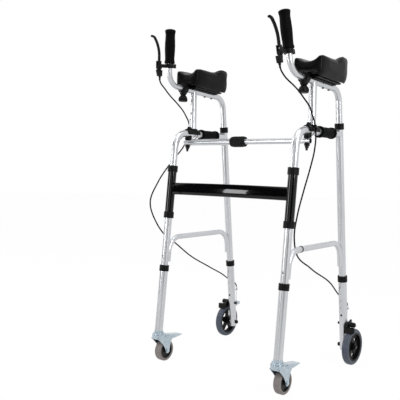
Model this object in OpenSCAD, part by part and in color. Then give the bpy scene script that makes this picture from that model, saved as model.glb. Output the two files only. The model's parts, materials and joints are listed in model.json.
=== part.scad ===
// Upright walker: a folding wheeled walking frame with raised forearm supports.
// Lengths in millimetres. Z is up, the front faces -Y, the origin is on the floor
// under the middle of the overall depth and width.

/* [Stance] */
// Distance between the side frames, tube centre to tube centre
frame_w = 492; // [450:2:540]
// Distance from the origin forward to the foot of the front leg axis
front_reach = 226; // [210:1:240]
// Distance from the origin rearward to the foot of the rear leg axis
rear_reach = 238; // [225:1:250]
// Lean of the front legs from the vertical, in degrees
front_lean = 6; // [4:0.5:8]
// Lean of the rear legs from the vertical, in degrees
rear_lean = 6.5; // [4:0.5:8]
// Height of the side handle axis above the floor
handle_z = 811; // [790:1:830]

/* [Tubes] */
// Outside diameter of the side frame tube
tube_d = 25.4; // [24:0.1:27]
// Wall of the frame and arm tubes
tube_wall = 1.5; // [1.2:0.1:1.8]
// Axis radius of the bend between front leg and side handle
bend_r = 58; // [45:1:70]
// Diameter of the seat rails
rail_d = 19; // [16:0.5:21]
// Height of the seat rails above the floor
rail_z = 438; // [420:1:460]

/* [Forearm support] */
// Height of the forearm bar above the floor at its front post
bar_z = 968; // [940:1:990]
// Rise of the forearm bar toward the front, in degrees
bar_rise = 3; // [0:0.5:5]
// Length of the forearm pad
pad_l = 187; // [165:1:200]
// Width of the forearm pad
pad_w = 110; // [96:1:122]
// Height of the pad's side walls at the front, above the pad underside
pad_front_h = 62; // [54:1:70]
// Height of the pad's side walls at the elbow, above the pad underside
pad_rear_h = 86; // [76:1:94]

/* [Hand grip] */
// Length of the upright hand grip
grip_l = 117; // [100:1:125]
// Diameter of the hand grip at its waist
grip_d = 32; // [30:0.5:36]
// Inward tilt of the upright grip about the forearm bar, in degrees
grip_twist = 6; // [0:0.5:8]
// Reach of the grip ahead of the front post, along the bar
grip_reach = 134; // [128:1:142]

/* [Height setting] */
// Outside diameter of the leg extensions
ext_d = 28.6; // [28.2:0.1:30]
// Distance between the height holes
hole_pitch = 25.4; // [20:0.1:26]
// Number of height holes in each leg
hole_count = 5; // [3:1:5]

/* [Wheels] */
// Diameter of the rear wheels
wheel_d = 127; // [120:1:132]
// Width of the rear tyres
wheel_w = 24; // [20:1:26]
// Diameter of the front casters
caster_d = 75; // [70:1:78]
// Width of the caster tyres
caster_w = 25; // [22:1:27]
// Distance the caster axle trails behind its swivel
caster_trail = 30; // [26:1:33]

/* [Fold] */
// Distance from the fold axis back to the cross tube pivots
pivot_off = 70; // [62:1:76]
// Height of the front brace centre along the front leg
brace_s = 616; // [590:1:630]
// Height of the brace section
brace_h = 42; // [34:1:48]
// Forward bow of the brace
brace_bow = 22; // [12:1:32]

/* [Hidden] */
$fn = 64;
slack = 0.1;      // radial play between sliding tubes
run_gap = 0.08;   // radial play of a turning pin
snug = 0.05;      // radial play of a fixed push fit
part_gap = 0.35;  // gap between moving faces
eps = 1;          // overrun of a cutting tool
bend_lap = 2.5;   // degrees a bend runs on into a straight tube
bend_step = 0.3;  // step in diameter where a bend meets a straight tube
side_x = frame_w / 2;
tube_bore = tube_d - 2 * tube_wall;
wheel_r = wheel_d / 2;
caster_r = caster_d / 2;

// front leg, measured along its axis from the floor
front_turn = 90 - front_lean;
front_corner_s = handle_z / cos(front_lean);
front_corner_y = -front_reach + handle_z * tan(front_lean);
bend_tan = bend_r * tan(front_turn / 2);
front_bend_s = front_corner_s - bend_tan;
front_ext_s0 = 115;
front_ext_s1 = 340;
front_in_s = 162;
front_button_s = 190;
leg_mark_s = 376;
leg_mark_d = 5;

// rear leg, measured along its axis from the floor
rear_turn = 90 - rear_lean;
rear_handle_y = rear_reach - handle_z * tan(rear_lean);
handle_run = rear_handle_y - front_corner_y - bend_tan;
rear_top_s = 849;
rear_ext_low = 16;
rear_ext_s0 = wheel_r / cos(rear_lean) - rear_ext_low;
rear_ext_s1 = 315;
rear_in_s = 160;
rear_button_s = 178;
axle_y = rear_reach - wheel_r * tan(rear_lean);

// seat rail, welded along the inner faces of both legs
rail_sink = 6;
rail_off = tube_d / 2 + rail_d / 2 - rail_sink;
rail_r = 55;
rail_tail_s = 357;
rail_corner_s = (rail_z + rail_off * sin(front_lean)) / cos(front_lean);
rail_up = rail_corner_s - rail_r * tan(front_turn / 2) - rail_tail_s;
rail_front_y = -front_reach + rail_z * tan(front_lean) + rail_off / cos(front_lean);
rail_rear_y = rear_reach - rail_z * tan(rear_lean) - rail_off / cos(rear_lean);
rail_run = rail_rear_y - rail_front_y - rail_r * (tan(front_turn / 2) + tan(rear_turn / 2));

// forearm bar and posts
arm_d = tube_bore - 2 * slack;
rod_d = arm_d - 2 * tube_wall - 2 * slack;
arm_bore = arm_d - 2 * tube_wall;
arm_r = 45;
arm_turn = 90 - rear_lean - bar_rise;
post_y = -47.5;
bar_slope = tan(bar_rise);
arm_corner_z = (bar_z - bar_slope * (rear_reach - post_y)) / (1 - bar_slope * tan(rear_lean));
arm_corner_y = rear_reach - arm_corner_z * tan(rear_lean);
arm_tan = arm_r * tan(arm_turn / 2);
arm_bend_s = arm_corner_z / cos(rear_lean) - arm_tan;
arm_in_s = 800;
bar_front = 62;
bar_run = (arm_corner_y - post_y) / cos(bar_rise) + bar_front - arm_tan;
saddle_wall = 4.5;
saddle_d = tube_d + 2 * saddle_wall;
saddle_rise = 1.5;
saddle_boss = 2.8;
saddle_front = 36;
saddle_back = 26;
saddle_skirt = 3;
saddle_neck_d = saddle_d - 2;
saddle_y0 = post_y - saddle_front;
saddle_y1 = post_y + saddle_back;
saddle_top_z = handle_z + saddle_d / 2 + saddle_rise;
post_spigot = 12;
post_sink = 4;
bar_hole_d = 5;
bar_hole_y = 24;
bar_hole_pitch = 12;
bar_hole_n = 3;
screw_d = 5;
screw_y = [66, 106];
screw_head_d = 8;
screw_head_h = 2.2;

// forearm pad and its base, along the bar from the front post and up from the bar axis
base_z0 = 3.5;
base_z1 = 12;
base_plate_t = 5;
base_half = 34;
base_y0 = -24;
base_y1 = 124;
base_saddle_half = 19;
base_inset = 6;
pad_y0 = -45;
pad_hang = 14;
pad_hang_in = base_half + 1;
pad_hang_run = 7;
pad_steps = 22;
pad_under = 14;
pad_over = 14;
pad_round = 0.55;
pad_trough = 18;
pad_elbow = 27;
pad_draw = 0.03;
pad_end = 9;
pad_step_at = 0.66;
pad_step_w = 0.12;
pad_slope = 0.45;
pad_square = 8;
pad_bottom = 0.44;
pad_lip = 0.86;
pad_mid = 0.45;
pad_apex = 0.3;
lip_in = 0.93;
lip_at = 0.8;
lip_curve = 2.4;
lip_fall = 0.1;
pad_n = pad_under + pad_over + 2;

// grip rod, measured forward along the bar from the front post
rod_bend_r = 52;
rod_turn = 81.3;
rod_bore = rod_d - 2 * tube_wall;
rod_tail = 42;
rod_reach = grip_reach - rod_bend_r * tan(rod_turn / 2);
rod_travel = 60;
grip_lift = 12;
grip_z = 15.7;
grip_cap = 11;
rod_up = grip_z + grip_l - grip_cap;
grip_n = 24;
grip_rim = 2.6;
grip_rim_low = 0.07;
grip_rim_high = 0.08;
grip_swell = 2;
grip_edge = 2;
grip_dome = 7;
dome_n = 5;

// clamp collar at the front end of the bar
clamp_front = 66;
clamp_back = 46;
clamp_d = 35;
clamp_boss_d = 26;
clamp_boss_z = 24;
clamp_boss_tip_d = 18;
clamp_boss_cone = 6;
knob_y = 56;
stud_d = 6;
knob_d = 33;
knob_h = 22;
// domed side of the knob, as shares of its radius and of its height from the top
knob_dome = [[0.55, 0], [0.76, 0.18], [0.91, 0.36], [1, 0.6], [1, 0.86], [0.88, 1]];
flute_n = 5;
flute_r = 5;
flute_at = 19;
flute_top = 5;

// brake lever and its bracket, in the frame of the upright grip
band_d = 31;
band_z0 = 1;
band_h = 14;
ear_l = 31;
ear_w = 13;
ear_slit = 2;
arm_step = 2;
lever_y = 52.5;
lever_pivot_z = 2;
lever_pin_d = 5;
pin_head_d = 8;
pin_head_h = 1.3;
lever_block_x = 4;
lever_block_r = 7.5;
lever_block_rise = 5;
lever_block_z0 = -28;
lever_foot_y = 53;
lever_foot_l = 12.5;
cheek_t = 2.4;
cheek_r = 8;
cheek_trim = 3;
cheek_lap = 6;
cheek_x1 = lever_block_x + part_gap + cheek_t;
blade_w = 10.8;
blade_t = 7;
blade_z0 = 17;
blade_z1 = 37;
blade_r = 90;
blade_turn = 40;
blade_neck = 4;
curl_r = 9;
curl_turn = 40;
blade_tip = 9;
slot_z = 51;
slot_y = 53.6;
slot_l = 20;
slot_t = 1.8;
slot_lean = 9;
barrel_d = 9;
barrel_h = 5;
barrel_in = 5;
// outlines of the cable housing under the lever: X and Z, then Y from the lever pin and Z
housing_x = [[-10.5, -7.5], [5.4, -7.5], [1.5, -28], [-11, -28]];
housing_y = [[-11, -7.5], [6.5, -7.5], [5.5, -28], [-7, -28]];

// side handle grip
handle_lead = 19.5;
handle_bare = 56;
handle_grip_y0 = saddle_y1 + handle_lead;
handle_grip_y1 = rear_handle_y - handle_bare;
handle_grip_d = 34;
handle_flange_d = 38.5;
handle_flange_t = 8;

// front panel: sleeves and brace
sleeve_d = 30;
sleeve_s0 = 515;
sleeve_s1 = 693;
bush_d = 35.5;
bush_l = 22;
bush_lip = 4;
brace_t = 16;
brace_face_r = 60;
brace_r = (side_x * side_x + brace_bow * brace_bow) / (2 * brace_bow);
brace_half = asin(side_x / brace_r);
bow_fn = 720;

// telescopic cross tube and its pivots, along the fold axis from the floor
cross_s = 790.6;
cross_d = 22.2;
cross_bore = 19.2;
cross_in_d = 19;
cross_in_bore = 16;
cross_tail = 11;
cross_out_x = 5;
cross_in_x = -110;
lock_x0 = -46;
lock_x1 = 8;
lock_d = 34;
lock_rib_n = 12;
lock_rib_d = 5;
lock_rib_in = 6;
lock_rib_sink = 1;
bolt_d = 8;
bolt_head_d = 13;
bolt_head_h = 5;
bolt_boss_d = 16;
nut_h = 7;
cup_d = 18;
cup_h = 6;
spacer_d = 25;
spacer_low = 8;
bolt_tip = 8;
pivot_rise = (handle_z - (cross_s * cos(front_lean) - pivot_off * sin(front_lean))) / cos(front_lean);

// leg collars, buttons
collar_d = 33.6;
collar_l = 21;
collar_lip = 4;
top_collar_d = collar_d - 2;
ext_bore = tube_d + 2 * slack;
button_d = 6.6;
button_in = 9;
button_out = 3;
button_tip = 1;
slot_w = 9;

// caster
swivel_z = 106;
swivel_y = -front_reach + swivel_z * tan(front_lean);
head_d = 46;
head_h = 12;
neck_d = 30;
neck_sink = 2;
plug_l = 30;
head_step = 7;
king_d = 10;
crown_d = 44;
crown_h = 8.5;
crown_z = swivel_z - head_h - part_gap - crown_h;
rivet_d = 16;
rivet_h = 2.5;
rivet_room = 1;
fork_gap = 2.6;
fork_t = 2.5;
fork_r = 9.5;
fork_plate_y0 = -20;
fork_plate_y1 = 12;
fork_plate_t = 4;
fork_pin_out = 1;
axle_head_step = 5;
// front and rear edges of a fork blade, Y and Z from the axle
fork_front = [[-32, 33], [-22, 22.5], [-14.5, 11], [-9.5, 0]];
fork_rear = [[9.5, 0], [11.5, 14.5], [14.5, 25], [19, 33], [25, 39]];
// top corners of a fork blade, Y from the swivel and Z from the crown underside
fork_top = [[-20, 2], [40, 6]];
caster_axle_d = 8;
caster_head_h = 3;
caster_core_r = 28;
core_lip = 4;
core_boss_r = 9;
core_dish = 4;
caster_round = 5;
pedal_pivot_y = 32;
pedal_pivot_z = 84;
pedal_pin_d = 5;
pedal_w = 27;
pedal_eye_r = 5;
// outline of the toe pedal, Y and Z from its pin
pedal_outline = [[-5, -4], [12, -7], [28, -9], [46, -9], [79, -5], [79, -3], [6, 9], [-5, 6]];

// rear wheel and brake
wheel_gap = 5.4;
wheel_x = side_x + ext_d / 2 + wheel_gap + wheel_w / 2;
hub_w = wheel_w - 2;
tyre_depth = 13;
hub_r = wheel_r - tyre_depth;
hub_boss_r = 13;
hub_web_t = 5;
hub_rim_t = 6;
hub_web_lap = 1;
window_n = 5;
window_in = 16;
window_out = hub_r - hub_rim_t - 2;
window_back = 4;
window_half = 17.5;
tyre_round = 8;
tyre_step = 1;
axle_d = 8;
axle_head_d = 14;
axle_head_h = 5;
axle_washer_d = 15;
brake_rise = 16;
brake_pivot_s = (wheel_d + brake_rise) / cos(rear_lean);
brake_pivot_y = rear_reach - brake_pivot_s * sin(rear_lean);
brake_pivot_z = brake_pivot_s * cos(rear_lean);
brake_pin_d = 6;
brake_cap_d = 10;
pin_cap_h = 3;
bolt_out = 2;
brake_hub_r = 9;
shoe_gap = 1.6;
shoe_at = 19;
shoe_half = 9;
shoe_top = 7;
shoe_out = 28;
brake_side_gap = 0.8;
brake_x0 = side_x + ext_d / 2 + brake_side_gap;
brake_w = 28;
brake_plate_t = 9;
tab_t = 6;
// outlines of the arm to the shoe and of the rear tab, Y and Z from the brake pin
brake_arm_outline = [[4, 8], [-8, 8], [-21, -3], [-28, -7], [-28, -21], [-10, -21], [6, -7]];
brake_tab_outline = [[-2, -8], [16, -2], [23, 8], [20, 15], [13, 12], [-2, 8]];
stop_z = 190;
stop_reach = 34;
stop_y = rear_reach - stop_z * tan(rear_lean) + stop_reach;
stop_t = 3;
stop_w = 14;
wire_d = 2;
wire_hole_d = 3;
wire_tail = 16;
lug_l = 18;
lug_h = 12;
lug_in = 12;
lug_drop = 11;
lug_z = brake_pivot_z - lug_drop;
link_t = 4;
link_half = 6;

// brake cable sheath
cable_d = 5;
cable_sides = 8;
cable_steps = 4;

silver = [0.78, 0.79, 0.8];
zinc = [0.62, 0.67, 0.72];
black = [0.07, 0.07, 0.07];
soft_black = [0.12, 0.12, 0.12];
gloss_black = [0.03, 0.03, 0.03];
tyre_grey = [0.25, 0.27, 0.31];
caster_grey = [0.45, 0.43, 0.42];

// Places and common shapes

// The left side is the mirror image of the right.
module left() mirror([1, 0, 0]) children();

// Front leg axis: Z runs up the leg from the floor.
module on_front_leg() translate([side_x, -front_reach, 0]) rotate([-front_lean, 0, 0]) children();

// Rear leg axis: Z runs up the leg from the floor.
module on_rear_leg() translate([side_x, rear_reach, 0]) rotate([rear_lean, 0, 0]) children();

// Forearm bar: Y runs rearward along the bar from the front post.
module on_bar() translate([side_x, post_y, bar_z]) rotate([-bar_rise, 0, 0]) children();

// Grip rod: Z runs forward along the bar, Y is up.
module on_rod() on_bar() rotate([0, -grip_twist, 0]) rotate([90, 0, 0]) children();

// Upright grip: Z runs up the grip, Y points to the rear.
module on_grip() on_rod() translate([0, 0, rod_reach]) past_bend(rod_bend_r, rod_turn)
  translate([0, 0, grip_lift]) children();

// Cross tube pivot: Z runs parallel to the fold axis.
module on_pivot() on_front_leg() translate([0, pivot_off, cross_s]) children();

// Caster swivel: origin on the floor under the swivel.
module on_swivel() translate([side_x, swivel_y, 0]) children();

// Wheel axle: X runs outward, origin at the axle and the tube centre.
module on_axle() translate([side_x, axle_y, wheel_r]) children();

// A round bend that starts along Z and curves toward Y. Its ends run a little way
// into the straight tubes, which are a hair thicker.
module bend(r, d, a)
  translate([0, r, 0])
    rotate([90, 0, -90]) rotate([0, 0, -bend_lap])
      rotate_extrude(angle = a + 2 * bend_lap) translate([r, 0]) circle(d = d - bend_step);

// The frame at the end of such a bend.
module past_bend(r, a) translate([0, r, 0]) rotate([-a, 0, 0]) translate([0, -r, 0]) children();

// A round bar along Y between two stations.
module along_y(y0, y1, d) translate([0, y1, 0]) rotate([90, 0, 0]) cylinder(d = d, h = y1 - y0);

// A round bar along X between two stations.
module along_x(x0, x1, d) translate([x0, 0, 0]) rotate([0, 90, 0]) cylinder(d = d, h = x1 - x0);

// A flat outline drawn in Y and Z, given thickness along X from x0.
module plate_x(x0, t) translate([x0, 0, 0]) rotate([90, 0, 90]) linear_extrude(t) children();

// A stadium outline, w long and t thick.
module stadium(w, t) {
  square([w - t, t], center = true);
  for (s = [-1, 1]) translate([s * (w - t) / 2, 0]) circle(d = t, $fn = 48);
}

// A ring along Z.
module ring(d, bore, h) difference() {
  cylinder(d = d, h = h);
  translate([0, 0, -eps]) cylinder(d = bore, h = h + 2 * eps);
}

// Front panel

// Section of the brace: rounded edges and gently swelling faces.
module brace_section() intersection() {
  stadium(brace_h, brace_t);
  translate([0, brace_face_r - brace_t / 2]) circle(r = brace_face_r, $fn = bow_fn);
  translate([0, brace_t / 2 - brace_face_r]) circle(r = brace_face_r, $fn = bow_fn);
}

// Oval brace bowed forward between the sleeves.
module brace_bar()
  translate([0, -front_reach, 0]) rotate([-front_lean, 0, 0])
    translate([0, brace_r - brace_bow, brace_s])
      rotate([0, 0, -90 - brace_half])
        rotate_extrude(angle = 2 * brace_half, $fn = bow_fn)
          translate([brace_r, 0]) rotate([0, 0, 90]) brace_section();

module sleeve_tube(d, over) on_front_leg()
  translate([0, 0, sleeve_s0 - over]) cylinder(d = d, h = sleeve_s1 - sleeve_s0 + 2 * over);

module cross_brace() color(gloss_black) difference() {
  union() {
    brace_bar();
    sleeve_tube(sleeve_d, 0);
    left() sleeve_tube(sleeve_d, 0);
  }
  sleeve_tube(ext_bore, eps);
  left() sleeve_tube(ext_bore, eps);
}

// End bush: a cap ring over the end of the sleeve.
module end_bush() difference() {
  cylinder(d = bush_d, h = bush_l);
  translate([0, 0, -eps]) cylinder(d = sleeve_d + 2 * snug, h = bush_l - bush_lip + eps);
  translate([0, 0, -eps]) cylinder(d = ext_bore, h = bush_l + 2 * eps);
}

module bush_pair() on_front_leg() {
  translate([0, 0, sleeve_s1 + bush_lip - bush_l]) end_bush();
  translate([0, 0, sleeve_s0 - bush_lip + bush_l]) mirror([0, 0, 1]) end_bush();
}

module sleeve_bushes() color(black) {
  bush_pair();
  left() bush_pair();
}

// Side frame

// Front leg, bend and side handle as one run of round bar.
module front_run(d, s0, run) on_front_leg() {
  translate([0, 0, s0]) cylinder(d = d, h = front_bend_s - s0);
  translate([0, 0, front_bend_s]) {
    bend(bend_r, d, front_turn);
    past_bend(bend_r, front_turn) cylinder(d = d, h = run);
  }
}

module rear_run(d, s0, s1) on_rear_leg() translate([0, 0, s0]) cylinder(d = d, h = s1 - s0);

// Inverted U rail whose ends run down along the legs.
module seat_rail() on_front_leg() translate([0, rail_off, rail_tail_s]) {
  cylinder(d = rail_d, h = rail_up);
  translate([0, 0, rail_up]) {
    bend(rail_r, rail_d, front_turn);
    past_bend(rail_r, front_turn) {
      cylinder(d = rail_d, h = rail_run);
      translate([0, 0, rail_run]) {
        bend(rail_r, rail_d, rear_turn);
        past_bend(rail_r, rear_turn) cylinder(d = rail_d, h = rail_up);
      }
    }
  }
}

// Slot in the inner tube that the height button passes along.
module button_slot(s0, s1) translate([-slot_w / 2, tube_bore / 4, s0 - eps])
  cube([slot_w, tube_d / 2, s1 - s0 + slot_w / 2 + eps]);

module side_frame() difference() {
  union() {
    front_run(tube_d, front_in_s, handle_run);
    rear_run(tube_d, rear_in_s, rear_top_s);
    seat_rail();
  }
  front_run(tube_bore, front_in_s - eps, handle_run - tube_d / 2 - eps);
  rear_run(tube_bore, rear_in_s - eps, rear_top_s + eps);
  on_front_leg() button_slot(front_in_s, front_button_s);
  on_rear_leg() mirror([0, 1, 0]) button_slot(rear_in_s, rear_button_s);
  on_front_leg() translate([0, 0, leg_mark_s]) along_y(-tube_d, 0, leg_mark_d);
  on_pivot() cylinder(d = bolt_d + 2 * snug, h = pivot_rise + tube_d);
}

module left_side_frame() color(silver) left() side_frame();
module right_side_frame() color(silver) side_frame();

// Round handle grip with a raised rim at each end.
module handle_grip() translate([side_x, 0, handle_z]) difference() {
  union() {
    along_y(handle_grip_y0, handle_grip_y1, handle_grip_d);
    along_y(handle_grip_y0, handle_grip_y0 + handle_flange_t, handle_flange_d);
    along_y(handle_grip_y1 - handle_flange_t, handle_grip_y1, handle_flange_d);
  }
  along_y(handle_grip_y0 - eps, handle_grip_y1 + eps, tube_d + 2 * snug);
}

module left_handle_grip() color(soft_black) left() handle_grip();
module right_handle_grip() color(soft_black) handle_grip();

// Arm fittings: clamp collar, post saddle, pivot spacer and cup, rear collar

module clamp_collar() on_bar() difference() {
  union() {
    along_y(-clamp_front, -clamp_back, clamp_d);
    translate([0, -knob_y, clamp_boss_cone - clamp_boss_z])
      cylinder(d = clamp_boss_d, h = clamp_boss_z - clamp_boss_cone);
    translate([0, -knob_y, -clamp_boss_z])
      cylinder(d1 = clamp_boss_tip_d, d2 = clamp_boss_d, h = clamp_boss_cone);
  }
  along_y(-clamp_front - clamp_boss_d, -clamp_back + eps, rod_d + 2 * part_gap);
  along_y(-bar_front, -clamp_back + clamp_boss_d, arm_d + 2 * snug);
  translate([0, -knob_y, -clamp_boss_z - eps]) cylinder(d = stud_d + 2 * run_gap, h = clamp_boss_z);
}

// Saddle on the side handle that carries the front post and the pivot bolt head.
module post_saddle() {
  difference() {
    union() {
      translate([side_x, 0, handle_z]) along_y(saddle_y0, saddle_y1, saddle_d);
      translate([side_x, post_y, handle_z]) cylinder(d = saddle_neck_d, h = saddle_top_z - handle_z);
      translate([side_x, post_y, handle_z])
        cylinder(d = tube_bore - 2 * snug, h = saddle_top_z - handle_z + post_spigot);
      on_pivot() cylinder(d = bolt_boss_d, h = pivot_rise + saddle_d / 2 + saddle_boss);
    }
    translate([side_x, 0, handle_z]) along_y(saddle_y0 - eps, saddle_y1 + eps, tube_d + 2 * snug);
    translate([side_x - saddle_d, saddle_y0 - eps, handle_z - saddle_d - saddle_skirt])
      cube([2 * saddle_d, saddle_y1 - saddle_y0 + 2 * eps, saddle_d]);
    on_pivot() cylinder(d = bolt_d + 2 * snug, h = pivot_rise + 2 * saddle_d);
  }
}

// Spacer between side handle and cross tube, hollowed to the handle.
module pivot_spacer(bar_d) difference() {
  on_pivot() translate([0, 0, bar_d / 2 + part_gap])
    cylinder(d = spacer_d, h = pivot_rise - spacer_low - bar_d / 2 - part_gap);
  translate([side_x, 0, handle_z]) along_y(front_corner_y, 0, tube_d + 2 * snug);
  on_front_leg() translate([0, 0, front_bend_s]) bend(bend_r, tube_d + 2 * snug, front_turn);
  on_pivot() cylinder(d = bolt_d + 2 * snug, h = pivot_rise + tube_d);
}

module pivot_cup(bar_d) on_pivot() translate([0, 0, -bar_d / 2 - part_gap - cup_h])
  ring(cup_d, bolt_d + 2 * snug, cup_h);

module leg_top_collar() on_rear_leg() translate([0, 0, rear_top_s + collar_lip - collar_l])
  difference() {
    cylinder(d = top_collar_d, h = collar_l);
    translate([0, 0, -eps]) cylinder(d = tube_d + 2 * snug, h = collar_l - collar_lip + eps);
    translate([0, 0, -eps]) cylinder(d = arm_d + 2 * snug, h = collar_l + 2 * eps);
  }

module arm_fittings(bar_d) {
  clamp_collar();
  post_saddle();
  pivot_spacer(bar_d);
  pivot_cup(bar_d);
  leg_top_collar();
}

module left_arm_fittings() color(black) left() arm_fittings(cross_d);
module right_arm_fittings() color(black) arm_fittings(cross_in_d);

// Arm frame: rear post, bend and forearm bar in one tube, with a front post

module arm_run(d, s0, run) on_rear_leg() {
  translate([0, 0, s0]) cylinder(d = d, h = arm_bend_s - s0);
  translate([0, 0, arm_bend_s]) mirror([0, 1, 0]) {
    bend(arm_r, d, arm_turn);
    past_bend(arm_r, arm_turn) cylinder(d = d, h = run);
  }
}

module arm_frame() difference() {
  union() {
    arm_run(arm_d, arm_in_s, bar_run);
    translate([side_x, post_y, saddle_top_z]) cylinder(d = tube_d, h = bar_z - saddle_top_z - post_sink);
  }
  arm_run(arm_bore, arm_in_s - eps, bar_run + eps);
  translate([side_x, post_y, saddle_top_z - eps])
    cylinder(d = tube_bore, h = bar_z - saddle_top_z - arm_d / 2 - 2 * eps);
  on_bar() for (i = [0 : bar_hole_n - 1])
    translate([0, bar_hole_y + i * bar_hole_pitch, 0]) along_x(0, arm_d, bar_hole_d);
  on_bar() for (y = screw_y) translate([0, y, -arm_d]) cylinder(d = screw_d + 2 * snug, h = 2 * arm_d);
  on_bar() translate([0, -knob_y, -arm_d]) cylinder(d = stud_d + 2 * run_gap, h = arm_d);
}

module left_arm_frame() color(silver) left() arm_frame();
module right_arm_frame() color(silver) arm_frame();

// Forearm pad and the moulded base it sits on

module pad_base() on_bar() difference() {
  union() {
    translate([-base_half, base_y0, base_z1 - base_plate_t])
      cube([2 * base_half, base_y1 - base_y0, base_plate_t]);
    translate([-base_saddle_half, base_y0 + base_inset, base_z0])
      cube([2 * base_saddle_half, base_y1 - base_y0 - 2 * base_inset, base_z1 - base_z0 - eps]);
  }
  along_y(base_y0 - eps, base_y1 + eps, arm_d + 2 * snug);
  for (y = screw_y) translate([0, y, 0]) cylinder(d = screw_d + 2 * snug, h = base_z1 - eps);
}

module left_pad_base() color(black) left() pad_base();
module right_pad_base() color(black) pad_base();

// The pad is a padded trough: rounded underside, soft side walls that rise at the
// elbow, and a hollow along the top for the forearm.
function ease(t) = let (u = min(1, max(0, t))) u * u * (3 - 2 * u);
// share of the way along the pad for each station, closer together at the ends
function pad_v(i) = 0.5 - 0.5 * cos(180 * i / pad_steps);
// how full the section is: drawn in at both ends
function pad_fill(v) = sqrt(max(0, 1 - pow(abs(2 * v - 1), pad_square)));
function pad_wall(v) = pad_front_h + (pad_rear_h - pad_front_h)
  * (pad_slope * v + (1 - pad_slope) * ease((v - pad_step_at + pad_step_w) / (2 * pad_step_w)));
function pad_floor(v) = pad_wall(v) - pad_trough - (pad_elbow - pad_trough) * ease(v);
function pad_half(v) = pad_w / 2 * (1 - pad_draw * sin(180 * v));
function sgn_pow(c, e) = (c < 0 ? -1 : 1) * pow(abs(c), e);
// underside and outer walls, from one lip round to the other; the edges hang past the base
function pad_outer(v, j) = let (a = 180 + 180 * j / pad_under, s = pow(abs(sin(a)), pad_bottom),
    x = pad_half(v) * sgn_pow(cos(a), pad_round))
  [x, pad_wall(v) * pad_lip * (1 - s) - pad_hang * s * ease((abs(x) - pad_hang_in) / pad_hang_run)];
// lips and trough, back from one lip to the other
function pad_inner(v, j) = let (x = cos(180 * j / pad_over) * lip_in, h = pad_wall(v), f = pad_floor(v))
  [pad_half(v) * x, f + (h - f) * min(1, pow(abs(x) / lip_at, lip_curve))
    * (1 - lip_fall * ease((abs(x) - lip_at) / (lip_in - lip_at)))];
function pad_section(v) = concat(
  [for (j = [0 : pad_under]) pad_outer(v, j)],
  [for (j = [0 : pad_over]) pad_inner(v, j)]);
function pad_point(i, p) = let (v = pad_v(i), k = 1 - pad_end / pad_w * (1 - pad_fill(v)) * 2,
    m = pad_wall(v) * pad_mid)
  [p[0] * k, pad_y0 + pad_l * v, base_z1 + max(-pad_hang, m + (p[1] - m) * k)];

module forearm_pad() on_bar() polyhedron(
  points = concat(
    [for (i = [0 : pad_steps]) for (p = pad_section(pad_v(i))) pad_point(i, p)],
    [for (i = [0, pad_steps]) pad_point(i, [0, pad_wall(pad_v(i)) * pad_apex])]),
  faces = concat(
    [for (i = [0 : pad_steps - 1]) for (j = [0 : pad_n - 1]) let (k = (j + 1) % pad_n)
      [i * pad_n + j, (i + 1) * pad_n + k, i * pad_n + k]],
    [for (i = [0 : pad_steps - 1]) for (j = [0 : pad_n - 1]) let (k = (j + 1) % pad_n)
      [i * pad_n + j, (i + 1) * pad_n + j, (i + 1) * pad_n + k]],
    [for (j = [0 : pad_n - 1]) [(pad_steps + 1) * pad_n, j, (j + 1) % pad_n]],
    [for (j = [0 : pad_n - 1]) [(pad_steps + 1) * pad_n + 1,
      pad_steps * pad_n + (j + 1) % pad_n, pad_steps * pad_n + j]]));

module left_forearm_pad() color(soft_black) left() forearm_pad();
module right_forearm_pad() color(soft_black) forearm_pad();

// Frame bolts: the cross tube pivot bolt with its nut, and the pad screws

module frame_bolts(bar_d) {
  top = pivot_rise + saddle_d / 2 + saddle_boss;
  low = -bar_d / 2 - part_gap - cup_h;
  on_pivot() {
    translate([0, 0, low - nut_h - bolt_tip]) cylinder(d = bolt_d, h = top - low + nut_h + bolt_tip);
    translate([0, 0, top]) cylinder(d = bolt_head_d, h = bolt_head_h);
    translate([0, 0, low - nut_h]) cylinder(d = bolt_head_d, h = nut_h);
  }
  on_bar() for (y = screw_y) translate([0, y, 0]) {
    translate([0, 0, -arm_d / 2]) cylinder(d = screw_d, h = arm_d / 2 + base_z1 - 2 * eps);
    translate([0, 0, -arm_d / 2 - screw_head_h]) cylinder(d = screw_head_d, h = screw_head_h);
  }
}

module left_frame_bolts() color(zinc) left() frame_bolts(cross_d);
module right_frame_bolts() color(zinc) frame_bolts(cross_in_d);

// Grip rod, hand grip, brake lever

module rod_run(d, z0, up) on_rod() {
  translate([0, 0, z0]) cylinder(d = d, h = rod_reach - z0);
  translate([0, 0, rod_reach]) {
    bend(rod_bend_r, d, rod_turn);
    past_bend(rod_bend_r, rod_turn) cylinder(d = d, h = grip_lift + up);
  }
}

module grip_rod() difference() {
  rod_run(rod_d, -rod_tail, rod_up);
  rod_run(rod_bore, -rod_tail - eps, rod_up + eps);
}

module left_grip_rod() color(silver) left() grip_rod();
module right_grip_rod() color(silver) grip_rod();

// Hand grip outline: a swell in the middle, a rim at each end and a domed top.
function grip_r(t) = grip_d / 2 + grip_swell * pow(sin(180 * t), 2)
  + grip_rim * (exp(-pow(t / grip_rim_low, 2)) + exp(-pow((1 - t) / grip_rim_high, 2)));

module hand_grip() on_grip() translate([0, 0, grip_z]) difference() {
  rotate_extrude() polygon(concat(
    [[0, 0], [grip_r(0) - grip_edge, 0]],
    [for (i = [0 : grip_n])
      [grip_r(i / grip_n), grip_edge + (grip_l - grip_edge - grip_dome) * i / grip_n]],
    [for (i = [1 : dome_n - 1]) let (a = 90 * i / dome_n)
      [grip_r(1) * cos(a), grip_l - grip_dome * (1 - sin(a))]],
    [[0, grip_l]]));
  translate([0, 0, -eps]) cylinder(d = rod_d + 2 * snug, h = rod_up - grip_z + 2 * eps);
}

module left_hand_grip() color(soft_black) left() hand_grip();
module right_hand_grip() color(soft_black) hand_grip();

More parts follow.
